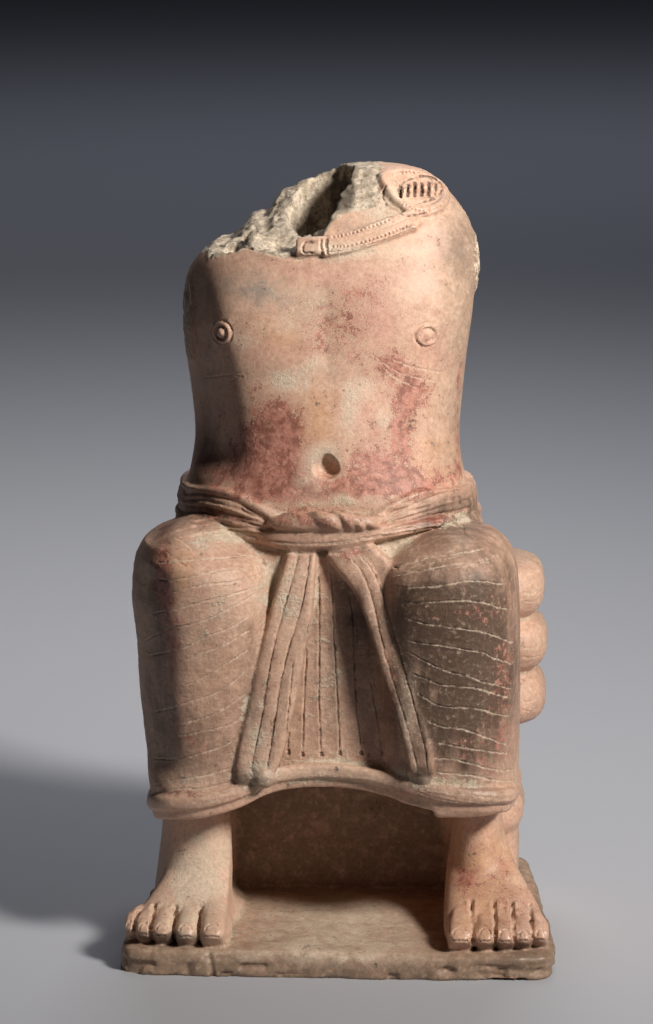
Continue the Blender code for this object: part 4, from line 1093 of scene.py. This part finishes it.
class Finish:
    """Nodes of one material."""

    def __init__(self, name):
        self.material = bpy.data.materials.new(name)
        self.material.use_nodes = True
        self.nodes, self.links = self.material.node_tree.nodes, self.material.node_tree.links
        self.shader = self.nodes["Principled BSDF"]
        self.place = self.node("ShaderNodeTexCoord", {}, {}, "Object").socket

    def plug(self, socket, value):
        """Give a socket its value or link."""
        value = getattr(value, "socket", value)
        if isinstance(value, bpy.types.NodeSocket):
            self.links.new(value, socket)
        else:
            socket.default_value = value

    def node(self, kind, settings, sockets, output=0):
        """Any node: its settings first, then the values or links of its sockets."""
        node = self.nodes.new(kind)
        for name, value in settings.items():
            setattr(node, name, value)
        for name, value in sockets.items():
            self.plug(node.inputs[name], value)
        return Value(self, node.outputs[output])

    def attribute(self, name):
        return self.node("ShaderNodeAttribute", {"attribute_name": name}, {}, "Fac")

    def lumps(self, size, detail=4.0, roughness=0.55, distortion=0.0, stretch=(1, 1, 1), shift=0.0):
        """Noise from about -1 to 1 in lumps of about the given size in millimetres."""
        place = self.node("ShaderNodeMapping", {}, {
            "Vector": self.place, "Location": (shift, shift * 0.7, shift * 0.3), "Scale": stretch})
        clouds = self.node("ShaderNodeTexNoise", {}, {
            "Vector": place, "Scale": 1000.0 / size, "Detail": detail, "Roughness": roughness,
            "Distortion": distortion})
        return clouds * 7.0 - 3.5

    def pits(self, size):
        """Distance to the nearest of scattered points about the given millimetres apart."""
        return self.node("ShaderNodeTexVoronoi", {}, {"Vector": self.place, "Scale": 1000.0 / size}, "Distance")

    def mix(self, share, below, above, blend="MIX"):
        """Colours mixed by a share."""
        sockets = {0: share, 6: (*below, 1.0) if isinstance(below, tuple) else below,
                   7: (*above, 1.0) if isinstance(above, tuple) else above}
        return self.node("ShaderNodeMix", {"data_type": "RGBA", "blend_type": blend}, sockets, 2)

    def coat(self, share, tint, blend="MIX"):
        """Lay a colour over the one so far, by a share."""
        self.colour = self.mix(share, self.colour, tint, blend)

    def set(self, name, value):
        self.plug(self.shader.inputs[name], value)


def terracotta():
    """Fired clay with worn red slip, pale soil deposit in its hollows and raw, gritty breaks."""
    finish = Finish("terracotta")
    take, lumps, mix, coat = finish.attribute, finish.lumps, finish.mix, finish.coat
    hollow, broken, cloth = take("hollow"), take("broken"), take("cloth")
    large, middle, small = lumps(42, 3), lumps(10, 5, 0.62), lumps(2.4, 4, 0.68)
    grain = lumps(0.8, 2, 0.6, shift=0.4)
    brushed = lumps(5, 4, 0.6, stretch=(0.25, 0.25, 1.0), shift=1.1)
    patchy = lumps(7, 7, 0.72, 0.4, shift=8.0)
    streaks = lumps(8, 4, 0.55, stretch=(1.0, 1.0, 0.22), shift=4.2)

    # bare clay, pinker or more orange in patches, under a dull film
    finish.colour = mix(large.above(-0.5, 0.6), (0.66, 0.425, 0.30), (0.64, 0.39, 0.275))
    coat((take("pink") * 1.2 + middle * 0.4).above(0.1, 1.2) * 0.85, (0.66, 0.345, 0.265))
    coat((take("warm") * 1.2 + middle * 0.4).above(0.15, 1.1) * 0.85, (0.63, 0.355, 0.205))
    coat((take("film") * (1 + patchy * 0.4)).above(0.1, 1.0) * 0.75, (0.33, 0.245, 0.175))
    # cloth, browner than the skin
    coat((cloth * 0.7 + middle * 0.3 + streaks * 0.25).above(0.0, 0.9) * 0.55, (0.45, 0.285, 0.20))
    # dark brown patches, partly soil and partly painted shade
    dark_soil_and_shade = (take("dark_soil_and_shade") * (1.5 + streaks * 0.35 + middle * 0.15)).above(0.2, 1.1)
    coat(dark_soil_and_shade * 0.93, (0.098, 0.058, 0.036))
    # darker towards the bottom, and painted shade in the niche under the hem
    coat((take("low_dark_and_niche_shade") * (1 + patchy * 0.5)).above(0.1, 0.9) * 0.75, (0.205, 0.148, 0.095))

    # red slip, left in granular patches with darker edges
    left = take("slip") * 1.25 + cloth * 0.08 + patchy * 0.42 + small * 0.36 + grain * 0.24 - 0.66
    slip = left.above(0.0, 0.35)
    slip_colour = mix(lumps(6, 5, 0.65, shift=0.9).above(-0.4, 0.5), (0.50, 0.20, 0.145), (0.25, 0.075, 0.05))
    coat(slip * 0.85, slip_colour)
    edge = left.above(-0.10, 0.0) * (1 - left.above(0.05, 0.14)) * (small + grain).above(-0.4, 0.5)
    coat(edge * 0.6 * (1 - cloth), (0.27, 0.11, 0.075))

    # pale soil in the hollows and in scattered patches
    scatter = lumps(13, 7, 0.72, 0.5, shift=2.3)
    soil = (hollow * 0.75 - take("dark_soil_and_shade") * 0.5 + take("pale") * 1.5 + cloth * (0.12 + brushed * 0.25)
            + scatter * 0.5 + small * 0.30 - 0.62 - broken - take("low_dark_and_niche_shade") * 0.2 - take("slip") * 0.3)
    crust = soil.above(0.0, 0.40)
    crust_colour = mix(middle.above(-0.6, 0.8), (0.47, 0.385, 0.27), (0.66, 0.56, 0.43))
    cream = (take("pale") * (1.1 + scatter * 0.5 + patchy * 0.3) - broken).above(0.15, 0.95) * (1 - cloth * 0.4)
    coat(cream * 0.8, (0.78, 0.62, 0.465))
    coat(crust * (0.30 + cloth * 0.48), crust_colour)
    coat((take("pale_line") * 1.4 + small * 0.5 - 0.25).above(0.0, 0.7) * 0.7, (0.58, 0.46, 0.345))

    # dark soil and painted shade in the deep lines, smoke stain, specks
    dark = (take("soil_and_shade_line") * 1.25 + middle * 0.4 + small * 0.5 - 0.45).above(0.0, 0.55)
    coat(dark * 0.8, (0.07, 0.048, 0.034))
    coat((take("soot") * (1.1 + small * 0.4 + patchy * 0.8)).above(0.15, 1.1) * 0.65, (0.22, 0.20, 0.175))
    specks = finish.pits(2.4).above(0.15, 0.07) * patchy.above(0.1, 0.7)
    coat(specks * 0.55 * (1 - broken), (0.20, 0.095, 0.065))

    # raw breaks: pale grey-beige grit with dark pores
    raw = mix(lumps(5, 6, 0.7, shift=3.1).above(-0.5, 0.5), (0.48, 0.385, 0.28), (0.80, 0.665, 0.51))
    pores = lumps(1.9, 5, 0.75, shift=5.0).above(0.55, 1.0)
    raw = mix(pores * 0.8, raw, (0.10, 0.075, 0.055))
    # painted shade deep in the neck's bore darkens the raw break there
    shade = (take("hollow") * -0.4 + take("depth") * 1.1 + middle * 0.15).above(0.2, 1.0)
    raw = mix(shade * 0.85, raw, (0.09, 0.07, 0.05))
    coat((broken + small * 0.25).above(0.35, 0.65), raw)

    coat(1.0, mix(small.above(-1.0, 1.0), (0.80, 0.78, 0.775), (1.10, 1.09, 1.08)), "MULTIPLY")
    finish.set("Base Color", finish.colour)
    rubbed = (hollow * -0.9 + take("warm") * 0.4 + take("pink") * 0.3 - 0.25).above(0.0, 0.8)
    finish.set("Roughness", 0.54 + crust * 0.28 + broken * 0.28 - slip * 0.04 - rubbed * 0.22 + small * 0.06)
    finish.set("Specular IOR Level", 0.45)
    height = (small * (0.05 + crust * 0.10 + slip * 0.08 + cloth * 0.07)
              + grain * (0.02 + crust * 0.07) + crust * (0.08 + cloth * 0.22)
              - slip * 0.10 - dark * 0.3 - specks * 0.3 + cloth * brushed * 0.15
              + broken * (lumps(1.4, 5, 0.75, shift=7.0) * 0.35 - pores * 0.8))
    bump = finish.node("ShaderNodeBump", {}, {"Strength": 0.7, "Distance": 0.0008, "Height": height}, "Normal")
    finish.set("Normal", bump)
    return finish.material


# Studio

def aim(obj, place, target):
    """Stand a lamp or the camera at a place and turn it to its target."""
    obj.location = place
    obj.rotation_euler = (Vector(target) - Vector(place)).to_track_quat("-Z", "Y").to_euler()


def lamp(name, place, size, power, colour, target, spread):
    """Soft square lamp with a grid that narrows it."""
    data = bpy.data.lights.new(name, "AREA")
    data.size = size
    data.spread = math.radians(spread)
    data.energy = power
    data.color = colour
    aim(shown(name, data), place, target)


def studio():
    """Floor, soft light and camera."""
    mesh = bpy.data.meshes.new("floor")
    bm = bmesh.new()
    bmesh.ops.create_grid(bm, x_segments=1, y_segments=1, size=30.0)
    bm.to_mesh(mesh)
    bm.free()
    floor = shown("floor", mesh)
    material = bpy.data.materials.new("pale_floor")
    material.use_nodes = True
    plain = material.node_tree.nodes["Principled BSDF"].inputs
    plain["Base Color"].default_value = (0.43, 0.43, 0.452, 1)
    plain["Roughness"].default_value = 0.9
    mesh.materials.append(material)
    world = bpy.data.worlds.new("studio")
    world.use_nodes = True
    background = world.node_tree.nodes["Background"].inputs
    background["Color"].default_value = (0.72, 0.80, 1.0, 1)
    background["Strength"].default_value = 0.02
    bpy.context.scene.world = world
    lamp("key", (1.20, -1.01, 1.28), 0.34, 7.7, (1.0, 0.97, 0.925), (-0.24, 0.50, 0.16), 66)
    lamp("top", (0, 1.25, 2.35), 0.8, 5.3, (0.93, 0.95, 1.0), (0, 0.80, 0), 86)
    lamp("far", (0, 4.4, 3.6), 1.5, 16.5, (0.80, 0.86, 1.0), (0, 4.1, 0), 150)
    bpy.context.scene.view_settings.view_transform = "Standard"

    width, height = PICTURE
    camera = bpy.data.cameras.new("camera")
    camera.sensor_fit = "VERTICAL"
    camera.sensor_height = SENSOR
    camera.lens = FOCAL * SENSOR / height
    camera.shift_x = -(CENTRE[0] - width / 2) / height
    camera.shift_y = (CENTRE[1] - height / 2) / height
    obj = shown("camera", camera)
    aim(obj, EYE, LOOKED_AT)
    bpy.context.scene.camera = obj


figure = built_figure()
worked(figure)
figure.data.transform(Matrix.Diagonal((MM, MM, MM, 1)) @ Matrix.Translation((0, 0, SLAB)))
figure.data.materials.append(terracotta())
figure.data.polygons.foreach_set("use_smooth", [True] * len(figure.data.polygons))
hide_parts("seated_figure")
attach(figure, "root")
studio()
